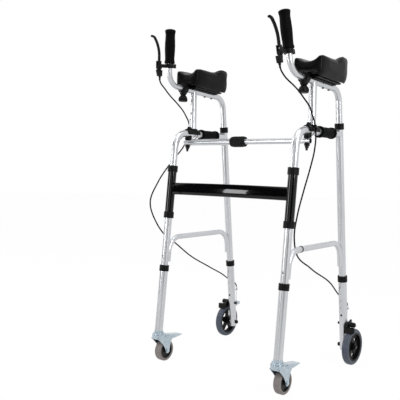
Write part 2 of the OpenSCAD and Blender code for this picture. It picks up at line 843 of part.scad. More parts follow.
// Bracket: a split band on the rod, an arm, the body that carries the lever, and the cable housing.
module lever_bracket() on_grip() difference() {
  union() {
    translate([0, 0, band_z0]) cylinder(d = band_d, h = band_h);
    translate([-ear_w / 2, 0, band_z0]) cube([ear_w, ear_l - ear_w / 2, band_h]);
    translate([0, ear_l - ear_w / 2, band_z0]) cylinder(d = ear_w, h = band_h);
    translate([-lever_block_x, -lever_y, band_z0]) cube([2 * lever_block_x, lever_y, band_h - arm_step]);
    plate_x(-lever_block_x, 2 * lever_block_x) {
      polygon([[-lever_y - lever_block_r, lever_block_rise],
        [-lever_foot_y - lever_foot_l / 2, lever_block_z0],
        [-lever_foot_y + lever_foot_l / 2, lever_block_z0],
        [-lever_y + lever_block_r, lever_block_rise]]);
      translate([-lever_y, lever_block_rise]) circle(r = lever_block_r);
    }
    intersection() {
      rotate([90, 0, 0]) linear_extrude(2 * lever_y) polygon(housing_x);
      translate([0, -lever_y, 0]) plate_x(-lever_y, 2 * lever_y) polygon(housing_y);
    }
    translate([-barrel_in, -lever_foot_y, lever_block_z0 - barrel_h])
      cylinder(d = barrel_d, h = barrel_h + eps);
    translate([0, -lever_y, lever_pivot_z]) {
      along_x(-cheek_x1 - part_gap - pin_head_h, cheek_x1 + part_gap + pin_head_h, lever_pin_d);
      for (s = [0, 1]) mirror([s, 0, 0])
        along_x(cheek_x1 + part_gap, cheek_x1 + part_gap + pin_head_h, pin_head_d);
    }
  }
  translate([0, 0, band_z0 - eps]) cylinder(d = rod_d + 2 * snug, h = band_h + 2 * eps);
  translate([-ear_slit / 2, rod_d / 2 - eps, band_z0 - eps]) cube([ear_slit, ear_l, band_h + 2 * eps]);
}

module left_lever_bracket() color(black) left() lever_bracket();
module right_lever_bracket() color(black) lever_bracket();

// A bend of the lever blade, like the round bend above.
module blade_bend(r, a) translate([0, r, 0]) rotate([90, 0, -90]) rotate([0, 0, -bend_lap])
  rotate_extrude(angle = a + 2 * bend_lap) translate([r, 0])
    rotate([0, 0, 90]) stadium(blade_w - bend_step, blade_t - bend_step);

// The blade: straight, a long forward curve, and a tip that curls outward.
module lever_blade() {
  linear_extrude(blade_z1 - blade_z0) stadium(blade_w, blade_t);
  translate([0, 0, blade_z1 - blade_z0]) mirror([0, 1, 0]) {
    blade_bend(blade_r, blade_turn);
    past_bend(blade_r, blade_turn) {
      linear_extrude(blade_neck) stadium(blade_w, blade_t);
      translate([0, 0, blade_neck]) {
        blade_bend(curl_r, curl_turn);
        past_bend(curl_r, curl_turn) {
          linear_extrude(blade_tip) stadium(blade_w, blade_t);
          translate([0, 0, blade_tip]) rotate([0, 90, 0])
            cylinder(d = blade_t - bend_step, h = blade_w - blade_t, center = true);
        }
      }
    }
  }
}

// Lever: two cheeks on the pin, joined by the slotted blade.
module brake_lever() on_grip() difference() {
  union() {
    for (s = [0, 1]) mirror([s, 0, 0]) plate_x(lever_block_x + part_gap, cheek_t) {
      translate([-lever_y, lever_pivot_z]) circle(r = cheek_r);
      translate([-lever_y - cheek_r, lever_pivot_z])
        square([2 * cheek_r - cheek_trim, blade_z0 - lever_pivot_z + cheek_lap]);
    }
    translate([0, -lever_y, blade_z0]) lever_blade();
  }
  translate([0, -lever_y, lever_pivot_z]) along_x(-blade_w, blade_w, lever_pin_d + 2 * run_gap);
  plate_x(-blade_w, 2 * blade_w) translate([-slot_y, slot_z])
    rotate([0, 0, 90 + slot_lean]) stadium(slot_l, slot_t);
}

module left_brake_lever() color(black) left() brake_lever();
module right_brake_lever() color(black) brake_lever();

// Domed knob with flutes for the fingers, under the clamp collar, and its stud.
module clamp_knob() on_bar() translate([0, -knob_y, -clamp_boss_z - part_gap]) {
  translate([0, 0, -eps]) cylinder(d = stud_d, h = clamp_boss_z + eps - rod_d / 2);
  difference() {
    rotate_extrude() polygon(concat(
      [[0, -knob_h], [0, 0]],
      [for (p = knob_dome) [p[0] * knob_d / 2, -p[1] * knob_h]]));
    for (i = [0 : flute_n - 1]) rotate([0, 0, 360 * i / flute_n])
      translate([flute_at, 0, -knob_h - eps]) cylinder(r = flute_r, h = knob_h + eps - flute_top);
  }
}

module left_clamp_knob() color(black) left() clamp_knob();
module right_clamp_knob() color(black) clamp_knob();

// Leg extensions

module ext_tube(s0, s1) translate([0, 0, s0]) cylinder(d = ext_d, h = s1 - s0);
module ext_hollow(s0, s1) translate([0, 0, s0 - eps]) cylinder(d = ext_bore, h = s1 - s0 + 2 * eps);

// Row of height holes on the face that looks at the other leg.
module height_holes(s0) for (i = [0 : hole_count - 1])
  translate([0, 0, s0 + i * hole_pitch]) along_y(0, ext_d, button_d + 2 * run_gap);

module front_leg() on_front_leg() difference() {
  ext_tube(front_ext_s0, front_ext_s1);
  ext_hollow(front_ext_s0, front_ext_s1);
  height_holes(front_button_s);
}

module left_front_leg() color(silver) left() front_leg();
module right_front_leg() color(silver) front_leg();

// Collar that closes the top of an extension on the inner tube.
module ext_collar(s1) translate([0, 0, s1 + collar_lip - collar_l]) difference() {
  cylinder(d = collar_d, h = collar_l);
  translate([0, 0, -eps]) cylinder(d = ext_d + 2 * snug, h = collar_l - collar_lip + eps);
  translate([0, 0, -eps]) cylinder(d = ext_bore + 2 * snug, h = collar_l + 2 * eps);
}

module left_front_leg_collar() color(black) left() on_front_leg() ext_collar(front_ext_s1);
module right_front_leg_collar() color(black) on_front_leg() ext_collar(front_ext_s1);

// Domed spring button in the lowest height hole.
module height_button(s) translate([0, 0, s]) {
  along_y(button_in, ext_d / 2 + button_out - button_tip, button_d);
  along_y(ext_d / 2 + button_out - button_tip, ext_d / 2 + button_out, button_d - 2 * button_tip);
}

module left_front_leg_button() color(zinc) left() on_front_leg() height_button(front_button_s);
module right_front_leg_button() color(zinc) on_front_leg() height_button(front_button_s);

module rear_leg() difference() {
  union() {
    on_rear_leg() ext_tube(rear_ext_s0, rear_ext_s1);
    translate([side_x - stop_w / 2, stop_y - stop_reach, stop_z]) cube([stop_w, stop_reach, stop_t]);
    translate([side_x, stop_y, stop_z]) cylinder(d = stop_w, h = stop_t);
  }
  on_rear_leg() ext_hollow(rear_ext_s0, rear_ext_s1);
  on_rear_leg() mirror([0, 1, 0]) height_holes(rear_button_s);
  on_axle() along_x(-ext_d, ext_d, axle_d + 2 * snug);
  translate([side_x, brake_pivot_y, brake_pivot_z]) along_x(-ext_d, ext_d, brake_pin_d + 2 * snug);
  translate([side_x, stop_y, stop_z - eps]) cylinder(d = wire_hole_d, h = stop_t + 2 * eps);
}

module left_rear_leg() color(silver) left() rear_leg();
module right_rear_leg() color(silver) rear_leg();

module left_rear_leg_collar() color(black) left() on_rear_leg() ext_collar(rear_ext_s1);
module right_rear_leg_collar() color(black) on_rear_leg() ext_collar(rear_ext_s1);

module rear_button() on_rear_leg() mirror([0, 1, 0]) height_button(rear_button_s);
module left_rear_leg_button() color(zinc) left() rear_button();
module right_rear_leg_button() color(zinc) rear_button();

// Casters

// Plug in the leg, neck, bearing head and king pin.
module caster_head() {
  on_front_leg() {
    translate([0, 0, front_ext_s0 - eps]) cylinder(d = tube_d, h = plug_l + eps);
    translate([0, 0, swivel_z - neck_sink]) cylinder(d = neck_d, h = front_ext_s0 - swivel_z + neck_sink);
  }
  on_swivel() {
    translate([0, 0, swivel_z - head_h]) cylinder(d = head_d, h = head_h / 2);
    translate([0, 0, swivel_z - head_h / 2 - eps]) cylinder(d = head_d - head_step, h = head_h / 2 + eps);
    translate([0, 0, crown_z - part_gap - rivet_h]) cylinder(d = king_d, h = swivel_z - crown_z);
    translate([0, 0, crown_z - part_gap - rivet_h]) cylinder(d = rivet_d, h = rivet_h);
  }
}

module left_caster_head() color(zinc) left() caster_head();
module right_caster_head() color(zinc) caster_head();

module fork_outline() {
  axle = [caster_trail, caster_r];
  polygon(concat([fork_top[0] + [0, crown_z]], [for (p = fork_front) axle + p],
    [for (p = fork_rear) axle + p], [fork_top[1] + [0, crown_z]]));
  translate(axle) circle(r = fork_r);
}

// Crown plate, two blades, the axle bolt and the pedal pin.
module caster_fork() on_swivel() {
  inner = caster_w / 2 + fork_gap;
  difference() {
    union() {
      translate([0, 0, crown_z]) cylinder(d = crown_d, h = crown_h);
      for (s = [0, 1]) mirror([s, 0, 0]) plate_x(inner, fork_t) fork_outline();
      translate([-inner - fork_t / 2, fork_plate_y0, crown_z])
        cube([2 * inner + fork_t, fork_plate_y1 - fork_plate_y0, fork_plate_t]);
    }
    translate([0, 0, crown_z - crown_h]) cylinder(d = king_d + 2 * run_gap, h = 3 * crown_h);
    translate([0, 0, crown_z - crown_h]) cylinder(d = rivet_d + 2 * rivet_room, h = crown_h);
  }
  translate([0, caster_trail, caster_r]) {
    along_x(-inner - fork_t, inner + fork_t, caster_axle_d);
    for (s = [0, 1]) mirror([s, 0, 0])
      along_x(inner + fork_t - eps, inner + fork_t + caster_head_h, caster_axle_d + axle_head_step);
  }
  translate([0, pedal_pivot_y, pedal_pivot_z])
    along_x(-inner - fork_t - fork_pin_out, inner + fork_t + fork_pin_out, pedal_pin_d);
}

module left_caster_fork() color(zinc) left() caster_fork();
module right_caster_fork() color(zinc) caster_fork();

// Half section of a tyre: r0 inside, r1 outside, w wide, corners rounded.
module tyre_section(r0, r1, w, round) difference() {
  union() {
    translate([r0, -w / 2 + tyre_step]) square([r1 - r0 - round, w - 2 * tyre_step]);
    translate([r0, -w / 2 + round]) square([r1 - r0, w - 2 * round]);
    for (s = [-1, 1]) translate([r1 - round, s * (w / 2 - round)]) circle(r = round);
  }
  translate([0, -w]) square([r0, 2 * w]);
}

// Soft tyre on a hard core that is dished around its boss.
module caster_wheel() on_swivel() translate([0, caster_trail, caster_r]) rotate([0, 90, 0]) {
  color(caster_grey) rotate_extrude() tyre_section(caster_core_r, caster_r, caster_w, caster_round);
  color(black) difference() {
    cylinder(r = caster_core_r - snug, h = caster_w - 2 * tyre_step, center = true);
    cylinder(d = caster_axle_d + 2 * run_gap, h = 2 * caster_w, center = true);
    for (s = [0, 1]) mirror([0, 0, s]) translate([0, 0, caster_w / 2 - tyre_step - core_dish])
      ring(2 * (caster_core_r - core_lip), 2 * core_boss_r, core_dish + eps);
  }
}

module left_caster_wheel() left() caster_wheel();
module right_caster_wheel() caster_wheel();

// Toe pedal hinged behind the crown.
module caster_pedal() on_swivel() translate([0, pedal_pivot_y, pedal_pivot_z]) difference() {
  plate_x(-pedal_w / 2, pedal_w) {
    polygon(pedal_outline);
    circle(r = pedal_eye_r);
  }
  along_x(-pedal_w, pedal_w, pedal_pin_d + 2 * run_gap);
}

module left_caster_pedal() color(zinc) left() caster_pedal();
module right_caster_pedal() color(zinc) caster_pedal();

// Rear wheels and brakes

// Axle bolt with washer, head and nut, and the brake pivot bolt with its nut.
module wheel_bolts() {
  inner = -ext_d / 2;
  outer = wheel_x - side_x + hub_w / 2 + part_gap;
  pin_end = brake_x0 - side_x + brake_w + part_gap;
  on_axle() {
    along_x(inner - nut_h - bolt_out, outer + axle_head_h / 2, axle_d);
    along_x(outer, outer + axle_head_h, axle_head_d);
    along_x(inner - nut_h, inner, axle_head_d);
    along_x(ext_d / 2, wheel_x - side_x - hub_w / 2 - part_gap, axle_washer_d);
  }
  translate([side_x, brake_pivot_y, brake_pivot_z]) {
    along_x(inner - nut_h, pin_end + pin_cap_h / 2, brake_pin_d);
    along_x(inner - nut_h + bolt_out, inner, brake_cap_d);
    along_x(pin_end, pin_end + pin_cap_h, brake_cap_d);
  }
}

module left_wheel_bolts() color(zinc) left() wheel_bolts();
module right_wheel_bolts() color(zinc) wheel_bolts();

module rear_tyre() translate([wheel_x, axle_y, wheel_r]) rotate([0, 90, 0])
  rotate_extrude() tyre_section(hub_r, wheel_r, wheel_w, tyre_round);

module left_rear_tyre() color(tyre_grey) left() rear_tyre();
module right_rear_tyre() color(tyre_grey) rear_tyre();

// Hub with a deep rim, a thin web with kite-shaped windows, and a centre boss.
module rear_hub() translate([wheel_x, axle_y, wheel_r]) rotate([0, 90, 0]) difference() {
  union() {
    difference() {
      cylinder(r = hub_r - snug, h = hub_w, center = true);
      cylinder(r = hub_r - hub_rim_t, h = 2 * hub_w, center = true);
    }
    cylinder(r = hub_r - hub_rim_t + hub_web_lap, h = hub_web_t, center = true);
    cylinder(r = hub_boss_r, h = hub_w, center = true);
  }
  cylinder(d = axle_d + 2 * run_gap, h = 2 * hub_w, center = true);
  for (i = [0 : window_n - 1]) rotate([0, 0, 360 * i / window_n])
    linear_extrude(2 * hub_w, center = true)
      polygon([[window_in, 0], [window_out - window_back, window_half],
        [window_out, 0], [window_out - window_back, -window_half]]);
}

module left_rear_hub() color(black) left() rear_hub();
module right_rear_hub() color(black) rear_hub();

// Brake arm: a shoe bar across the tyre, an arm to it, a rear tab, and a link to the wire lug.
module brake_arm() difference() {
  union() {
    translate([0, brake_pivot_y, brake_pivot_z]) {
      along_x(brake_x0, brake_x0 + brake_w, 2 * brake_hub_r);
      plate_x(brake_x0, brake_plate_t) polygon(brake_arm_outline);
      plate_x(brake_x0 + link_t / 2, tab_t) polygon(brake_tab_outline);
      plate_x(brake_x0, link_t) polygon([[0, link_half], [0, -link_half],
        [stop_y - brake_pivot_y, -lug_drop], [stop_y - brake_pivot_y, lug_h - lug_drop]]);
    }
    translate([brake_x0, brake_pivot_y - shoe_at - shoe_half, wheel_r])
      cube([shoe_out, 2 * shoe_half, brake_pivot_z - shoe_top - wheel_r]);
    translate([brake_x0 + shoe_out, brake_pivot_y - shoe_at, wheel_r])
      cylinder(r = shoe_half, h = brake_pivot_z - shoe_top - wheel_r);
    translate([side_x - lug_in, stop_y - lug_l / 2, lug_z])
      cube([brake_x0 - side_x + lug_in + link_t / 2, lug_l, lug_h]);
  }
  on_axle() along_x(0, 2 * wheel_d, wheel_d + 2 * shoe_gap);
  translate([0, brake_pivot_y, brake_pivot_z]) along_x(side_x, side_x + wheel_d, brake_pin_d + 2 * run_gap);
  translate([side_x, stop_y, lug_z - eps]) cylinder(d = wire_hole_d, h = lug_h + 2 * eps);
}

module left_brake_arm() color(black) left() brake_arm();
module right_brake_arm() color(black) brake_arm();

// Cross tube: the left half is the outer tube, the right half slides inside it

module pivot_hole(d) on_pivot() translate([0, 0, -d]) cylinder(d = bolt_d + 2 * run_gap, h = 2 * d);
module cross_axis() translate([0, -front_reach, 0]) rotate([-front_lean, 0, 0])
  translate([0, pivot_off, cross_s]) children();

module left_cross_tube() color(silver) difference() {
  cross_axis() along_x(-side_x - cross_tail, cross_out_x, cross_d);
  cross_axis() along_x(-side_x - cross_tail - eps, cross_out_x + eps, cross_bore);
  left() pivot_hole(cross_d);
}

module right_cross_tube() color(silver) difference() {
  cross_axis() along_x(cross_in_x, side_x + cross_tail, cross_in_d);
  cross_axis() along_x(cross_in_x - eps, side_x + cross_tail + eps, cross_in_bore);
  pivot_hole(cross_d);
}

// Twist lock collar with grip ribs, closing on the inner tube at its end.
module bar_lock_collar() color(black) cross_axis() difference() {
  union() {
    along_x(lock_x0, lock_x1, lock_d);
    for (i = [0 : lock_rib_n - 1]) rotate([360 * i / lock_rib_n, 0, 0])
      translate([0, 0, lock_d / 2 - lock_rib_sink])
        along_x(lock_x0 + lock_rib_in, lock_x1 - lock_rib_in, lock_rib_d);
  }
  along_x(lock_x0 - eps, cross_out_x + part_gap, cross_d + 2 * run_gap);
  along_x(lock_x0 - eps, lock_x1 + eps, cross_in_d + 2 * part_gap);
}

// Brake cables: a sheath along its clipped route, and the bare wire to the brake

// Turns about X and Y, and the places of points on the bar and on the upright grip.
function turn_x(a, v) = [v[0], v[1] * cos(a) - v[2] * sin(a), v[1] * sin(a) + v[2] * cos(a)];
function turn_y(a, v) = [v[0] * cos(a) + v[2] * sin(a), v[1], v[2] * cos(a) - v[0] * sin(a)];
function bar_at(v) = [side_x, post_y, bar_z] + turn_x(-bar_rise, v);
function grip_at(v) = let (
    p = turn_x(-rod_turn, v + [0, -rod_bend_r, grip_lift]) + [0, rod_bend_r, rod_reach])
  bar_at(turn_y(-grip_twist, turn_x(90, p)));

// Each route leaves the lever barrel, is laid by hand between its clips, and ends in
// the stop on the rear leg. Its points stand outward of the side frame, at Y, at Z.
cable_top = [grip_at([-barrel_in, -lever_foot_y, lever_block_z0 - barrel_h - part_gap]),
  grip_at([-barrel_in, -lever_foot_y, lever_block_z0 - barrel_h - cable_d])];
cable_end = [[side_x, stop_y, stop_z + stop_t + 2 * cable_d], [side_x, stop_y, stop_z + stop_t + part_gap]];
right_clips = [
  [-1, -216, 961], [0, -195, 951], [1, -169, 941], [3, -135, 924], [6, -112, 907],
  [10, -89, 888], [17, -73, 854], [20, -63, 828], [21, -58, 790], [17, -58, 746], [9, -68, 690],
  [2, -90, 624], [-6, -112, 546], [-13, -116, 483], [-15, -100, 428], [-15, -2, 365],
  [-17, 148, 294], [-20, 214, 247]];
left_clips = [
  [-1, -201, 957], [0, -173, 937], [2, -138, 917], [7, -97, 893], [12, -74, 876],
  [17, -50, 851], [22, -38, 818], [22, -70, 768], [23, -141, 703], [27, -203, 632],
  [30, -236, 566], [27, -208, 494], [20, -174, 450], [16, -118, 414], [16, -32, 359],
  [18, 95, 299], [20, 205, 246]];
function route(clips) = concat(cable_top, [for (c = clips) c + [side_x, 0, 0]], cable_end);

function at(p, i) = p[min(len(p) - 1, max(0, i))];
function unit(v) = v / norm(v);
// the heading at a point leans toward its nearer neighbour
function heading(p, i) = let (a = p[i] - at(p, i - 1), b = at(p, i + 1) - p[i], la = norm(a), lb = norm(b))
  unit(la == 0 ? b : lb == 0 ? a : a * lb / la + b * la / lb);
// a curve from one point to the next that leaves and arrives along the headings there
function curve(p, i, t) = let (l = norm(p[i + 1] - p[i]), s = 1 - t)
  s * s * (1 + 2 * t) * p[i] + t * t * (3 - 2 * t) * p[i + 1]
  + l * t * s * (s * heading(p, i) - t * heading(p, i + 1));
function smooth(p, n) = concat(
  [for (i = [0 : len(p) - 2]) for (k = [0 : n - 1]) curve(p, i, k / n)], [p[len(p) - 1]]);

// A round tube swept along a list of points.
module sweep(p, r, n) {
  m = len(p);
  polyhedron(
    points = [for (i = [0 : m - 1])
      let (t = heading(p, i), u = unit(cross(t, [1, 0, 0])), w = cross(t, u))
      for (j = [0 : n - 1]) p[i] + r * (cos(360 * j / n) * u + sin(360 * j / n) * w)],
    faces = concat(
      [for (i = [0 : m - 2]) for (j = [0 : n - 1]) let (k = (j + 1) % n)
        [i * n + j, (i + 1) * n + k, i * n + k]],
      [for (i = [0 : m - 2]) for (j = [0 : n - 1]) let (k = (j + 1) % n)
        [i * n + j, (i + 1) * n + j, (i + 1) * n + k]],
      [[for (j = [0 : n - 1]) j], [for (j = [n - 1 : -1 : 0]) (m - 1) * n + j]]));
}

// Sheath, and the bare wire from the stop down through the brake lug.
module brake_cable(clips) {
  sweep(smooth(route(clips), cable_steps), cable_d / 2, cable_sides);
  translate([side_x, stop_y, brake_pivot_z - wire_tail])
    cylinder(d = wire_d, h = stop_z - brake_pivot_z + wire_tail + eps);
}

module left_brake_cable() color(black) left() brake_cable(left_clips);
module right_brake_cable() color(black) brake_cable(right_clips);

cross_brace();
sleeve_bushes();
bar_lock_collar();
left_side_frame();
left_handle_grip();
left_arm_fittings();
left_arm_frame();
left_pad_base();
left_forearm_pad();
left_frame_bolts();
left_brake_cable();
left_grip_rod();
left_hand_grip();
left_lever_bracket();
left_brake_lever();
left_clamp_knob();
left_front_leg();
left_front_leg_collar();
left_front_leg_button();
left_caster_head();
left_caster_fork();
left_caster_wheel();
left_caster_pedal();
left_rear_leg();
left_rear_leg_collar();
left_rear_leg_button();
left_wheel_bolts();
left_brake_arm();
left_rear_tyre();
left_rear_hub();
left_cross_tube();
right_side_frame();
right_handle_grip();
right_arm_fittings();
right_arm_frame();
right_pad_base();
right_forearm_pad();
right_frame_bolts();
right_brake_cable();
right_grip_rod();
right_hand_grip();
right_lever_bracket();
right_brake_lever();
right_clamp_knob();
right_front_leg();
right_front_leg_collar();
right_front_leg_button();
right_caster_head();
right_caster_fork();
right_caster_wheel();
right_caster_pedal();
right_rear_leg();
right_rear_leg_collar();
right_rear_leg_button();
right_wheel_bolts();
right_brake_arm();
right_rear_tyre();
right_rear_hub();
right_cross_tube();
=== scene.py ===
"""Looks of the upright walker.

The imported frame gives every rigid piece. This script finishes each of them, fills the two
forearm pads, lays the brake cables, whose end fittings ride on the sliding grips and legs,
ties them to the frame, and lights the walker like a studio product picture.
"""
from __future__ import annotations

import json
import logging
import math
from dataclasses import dataclass, field
from enum import Enum
from typing import Any, Optional, Sequence

import bmesh
import bpy
from mathutils import Matrix, Vector

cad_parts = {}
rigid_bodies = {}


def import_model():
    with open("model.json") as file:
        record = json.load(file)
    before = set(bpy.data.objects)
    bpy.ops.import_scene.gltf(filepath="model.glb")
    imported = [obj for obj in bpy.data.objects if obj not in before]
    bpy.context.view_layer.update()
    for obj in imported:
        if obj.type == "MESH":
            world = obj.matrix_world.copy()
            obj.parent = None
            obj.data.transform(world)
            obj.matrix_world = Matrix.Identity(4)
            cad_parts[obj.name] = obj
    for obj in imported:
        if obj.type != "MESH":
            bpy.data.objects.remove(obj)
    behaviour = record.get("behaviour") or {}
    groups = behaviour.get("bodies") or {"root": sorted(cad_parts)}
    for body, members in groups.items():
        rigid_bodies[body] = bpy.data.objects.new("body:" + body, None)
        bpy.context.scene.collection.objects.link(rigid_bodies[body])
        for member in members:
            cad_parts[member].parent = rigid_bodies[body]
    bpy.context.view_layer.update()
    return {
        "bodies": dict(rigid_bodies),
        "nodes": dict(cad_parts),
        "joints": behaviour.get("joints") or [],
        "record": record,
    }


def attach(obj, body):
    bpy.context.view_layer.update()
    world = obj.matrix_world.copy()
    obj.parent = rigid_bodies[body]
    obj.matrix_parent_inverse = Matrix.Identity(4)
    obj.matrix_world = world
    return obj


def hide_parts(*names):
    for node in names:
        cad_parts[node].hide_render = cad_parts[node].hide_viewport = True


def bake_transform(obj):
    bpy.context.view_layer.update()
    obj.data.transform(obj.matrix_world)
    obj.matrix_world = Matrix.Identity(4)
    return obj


LOG = logging.getLogger("walker")
Point = tuple[float, float, float]
Outline = list[tuple[float, float]]
Socket = bpy.types.NodeSocket
Tree = bpy.types.NodeTree

MM = 0.001
# Distance of both side frames' tube centres from the middle plane, in millimetres.
SIDE_X = 246.0
AXIS_X = Vector((1.0, 0.0, 0.0))
AXIS_Y = Vector((0.0, 1.0, 0.0))

# The sRGB curve: a straight foot below the knee and a power curve above it.
SRGB_KNEE, SRGB_FOOT, SRGB_SHIFT, SRGB_POWER = 0.04045, 12.92, 0.055, 2.4
# Part of the soft pattern's range over which a finish runs from its first to its second value.
CLOUD_LOW, CLOUD_HIGH = 0.3, 0.7
CLOUD_DETAIL, CLOUD_ROUGHNESS, GRIT_DETAIL = 5.0, 0.6, 3.0
# Depth of a relief as a share of its spacing.
RELIEF_DEPTH = 0.3
POLYMER_IOR = 1.5
# Sockets of Blender's mix node when it mixes colours.
MIX_FIRST, MIX_SECOND, MIX_RESULT = 6, 7, 2

# Fineness of the swept pieces: steps per span of a route, and sides of a round section.
CABLE_STEPS, TAIL_STEPS = 10, 8
SHEATH_SIDES, TURNED_SIDES = 14, 16
# Route points between the lever barrel and a cable's first clip.
LEAD_POINTS = 2
# Rims of turned pieces: length by diameter, longest share of the piece, and width left.
RIM_EASE, RIM_LIMIT, RIM_WIDTH = 0.15, 0.25, 0.72
# Eased corner of a strap as a share of its thickness.
STRAP_EASE = 0.25


class Side(Enum):
    """The two mirrored sides of the walker."""

    LEFT = -1
    RIGHT = 1

    @property
    def label(self) -> str:
        """Name used in the frame's nodes and bodies."""
        return self.name.lower()

    def node(self, piece: str) -> str:
        """Name of a piece or body on this side.

        Args:
            piece: its name without the side.

        Returns:
            The name with the side in front.
        """
        return f"{self.label}_{piece}"

    def at(self, out: float, y: float, z: float) -> Vector:
        """A point in metres from millimetres outward of the side frame's plane.

        Args:
            out: distance outward of the tube centres.
            y: distance toward the rear.
            z: height above the floor.

        Returns:
            The point in the shared frame.
        """
        return Vector((self.value * (SIDE_X + out), y, z)) * MM


def linear(colour: str) -> tuple[float, float, float, float]:
    """Turn an sRGB hex colour into linear RGBA.

    Args:
        colour: such as "#C8CACC".

    Returns:
        Red, green, blue and a full alpha.
    """
    parts = [int(colour[i:i + 2], 16) / 255 for i in (1, 3, 5)]
    r, g, b = (c / SRGB_FOOT if c <= SRGB_KNEE
               else ((c + SRGB_SHIFT) / (1 + SRGB_SHIFT)) ** SRGB_POWER for c in parts)
    return (r, g, b, 1.0)


def per_metre(millimetres: float) -> float:
    """Texture scale of a pattern.

    Args:
        millimetres: the length after which the pattern about repeats.

    Returns:
        Repeats per metre.
    """
    return 1.0 / (millimetres * MM)


def add_node(tree: Tree, kind: str, settings: Optional[dict[str, Any]] = None,
             inputs: Optional[dict[Any, Any]] = None) -> bpy.types.Node:
    """Add one shader node with its settings, values and links.

    Args:
        tree: the node tree to add to.
        kind: Blender's node type.
        settings: node attributes to set.
        inputs: by input name or index, a value or the socket to link from.

    Returns:
        The new node.
    """
    made = tree.nodes.new(kind)
    for name, value in (settings or {}).items():
        setattr(made, name, value)
    for key, value in (inputs or {}).items():
        if isinstance(value, Socket):
            tree.links.new(value, made.inputs[key])
        else:
            made.inputs[key].default_value = value
    return made


def ramp(tree: Tree, source: Socket, stops: Sequence[tuple[float, str]]) -> Socket:
    """Map a value to a run of colours.

    Args:
        tree: the node tree to add to.
        source: the value.
        stops: place and hex colour of the two stops, in order.

    Returns:
        The colour socket.
    """
    made = add_node(tree, "ShaderNodeValToRGB", inputs={0: source})
    for element, (place, colour) in zip(made.color_ramp.elements, stops):
        element.position = place
        element.color = linear(colour)
    return made.outputs[0]


@dataclass(frozen=True)
class Finish:
    """A surface as its maker would name it, with typical optical values.

    The colour and roughness run between two values along a soft pattern of the given size,
    and a fine relief of the given spacing and strength is pressed into it.
    """

    name: str
    dark: str
    light: str
    smooth: float
    rough: float
    cloud_mm: float
    relief_mm: float
    relief: float
    metallic: float = 0.0
    coat: float = 0.0
    coat_rough: float = 0.1
    specular: float = 0.5
    cells: bool = False

    def build(self) -> bpy.types.Material:
        """Make the material.

        Returns:
            A node material in the object's own coordinates, so it moves with its piece.
        """
        made = bpy.data.materials.new(self.name)
        made.use_nodes = True
        tree = made.node_tree
        shader = tree.nodes["Principled BSDF"]
        place = add_node(tree, "ShaderNodeTexCoord").outputs["Object"]
        cloud = add_node(tree, "ShaderNodeTexNoise", inputs={
            "Vector": place, "Scale": per_metre(self.cloud_mm),
            "Detail": CLOUD_DETAIL, "Roughness": CLOUD_ROUGHNESS}).outputs["Fac"]
        tree.links.new(self.colour(tree, place, cloud), shader.inputs["Base Color"])
        rough = add_node(tree, "ShaderNodeMapRange", inputs={
            0: cloud, 1: CLOUD_LOW, 2: CLOUD_HIGH, 3: self.smooth, 4: self.rough})
        tree.links.new(rough.outputs[0], shader.inputs["Roughness"])
        bump = add_node(tree, "ShaderNodeBump", inputs={
            "Strength": self.relief, "Distance": self.relief_mm * MM * RELIEF_DEPTH,
            "Height": self.height(tree, place)})
        tree.links.new(bump.outputs[0], shader.inputs["Normal"])
        shader.inputs["Metallic"].default_value = self.metallic
        self.plate(tree, place, shader.inputs["Metallic"])
        if not self.metallic:
            shader.inputs["IOR"].default_value = POLYMER_IOR
        shader.inputs["Coat Weight"].default_value = self.coat
        shader.inputs["Coat Roughness"].default_value = self.coat_rough
        shader.inputs["Specular IOR Level"].default_value = self.specular
        return made

    def colour(self, tree: Tree, place: Socket, cloud: Socket) -> Socket:
        """Colour of the surface.

        Args:
            tree: the material's nodes.
            place: coordinates on the piece.
            cloud: the soft pattern.

        Returns:
            The colour socket.
        """
        return ramp(tree, cloud, [(CLOUD_LOW, self.dark), (CLOUD_HIGH, self.light)])

    def plate(self, tree: Tree, place: Socket, metallic: Socket) -> None:
        """Hook for a finish whose metal covers only part of the piece.

        Args:
            tree: the material's nodes.
            place: coordinates on the piece.
            metallic: the shader's socket.
        """

    def height(self, tree: Tree, place: Socket) -> Socket:
        """Fine relief of the surface: grit, or rounded cells like a hide.

        Args:
            tree: the material's nodes.
            place: coordinates on the piece.

        Returns:
            The height socket.
        """
        spacing = {"Vector": place, "Scale": per_metre(self.relief_mm)}
        if self.cells:
            hide = add_node(tree, "ShaderNodeTexVoronoi", {"feature": "DISTANCE_TO_EDGE"}, spacing)
            return hide.outputs["Distance"]
        grit = add_node(tree, "ShaderNodeTexNoise", inputs={**spacing, "Detail": GRIT_DETAIL})
        return grit.outputs["Fac"]


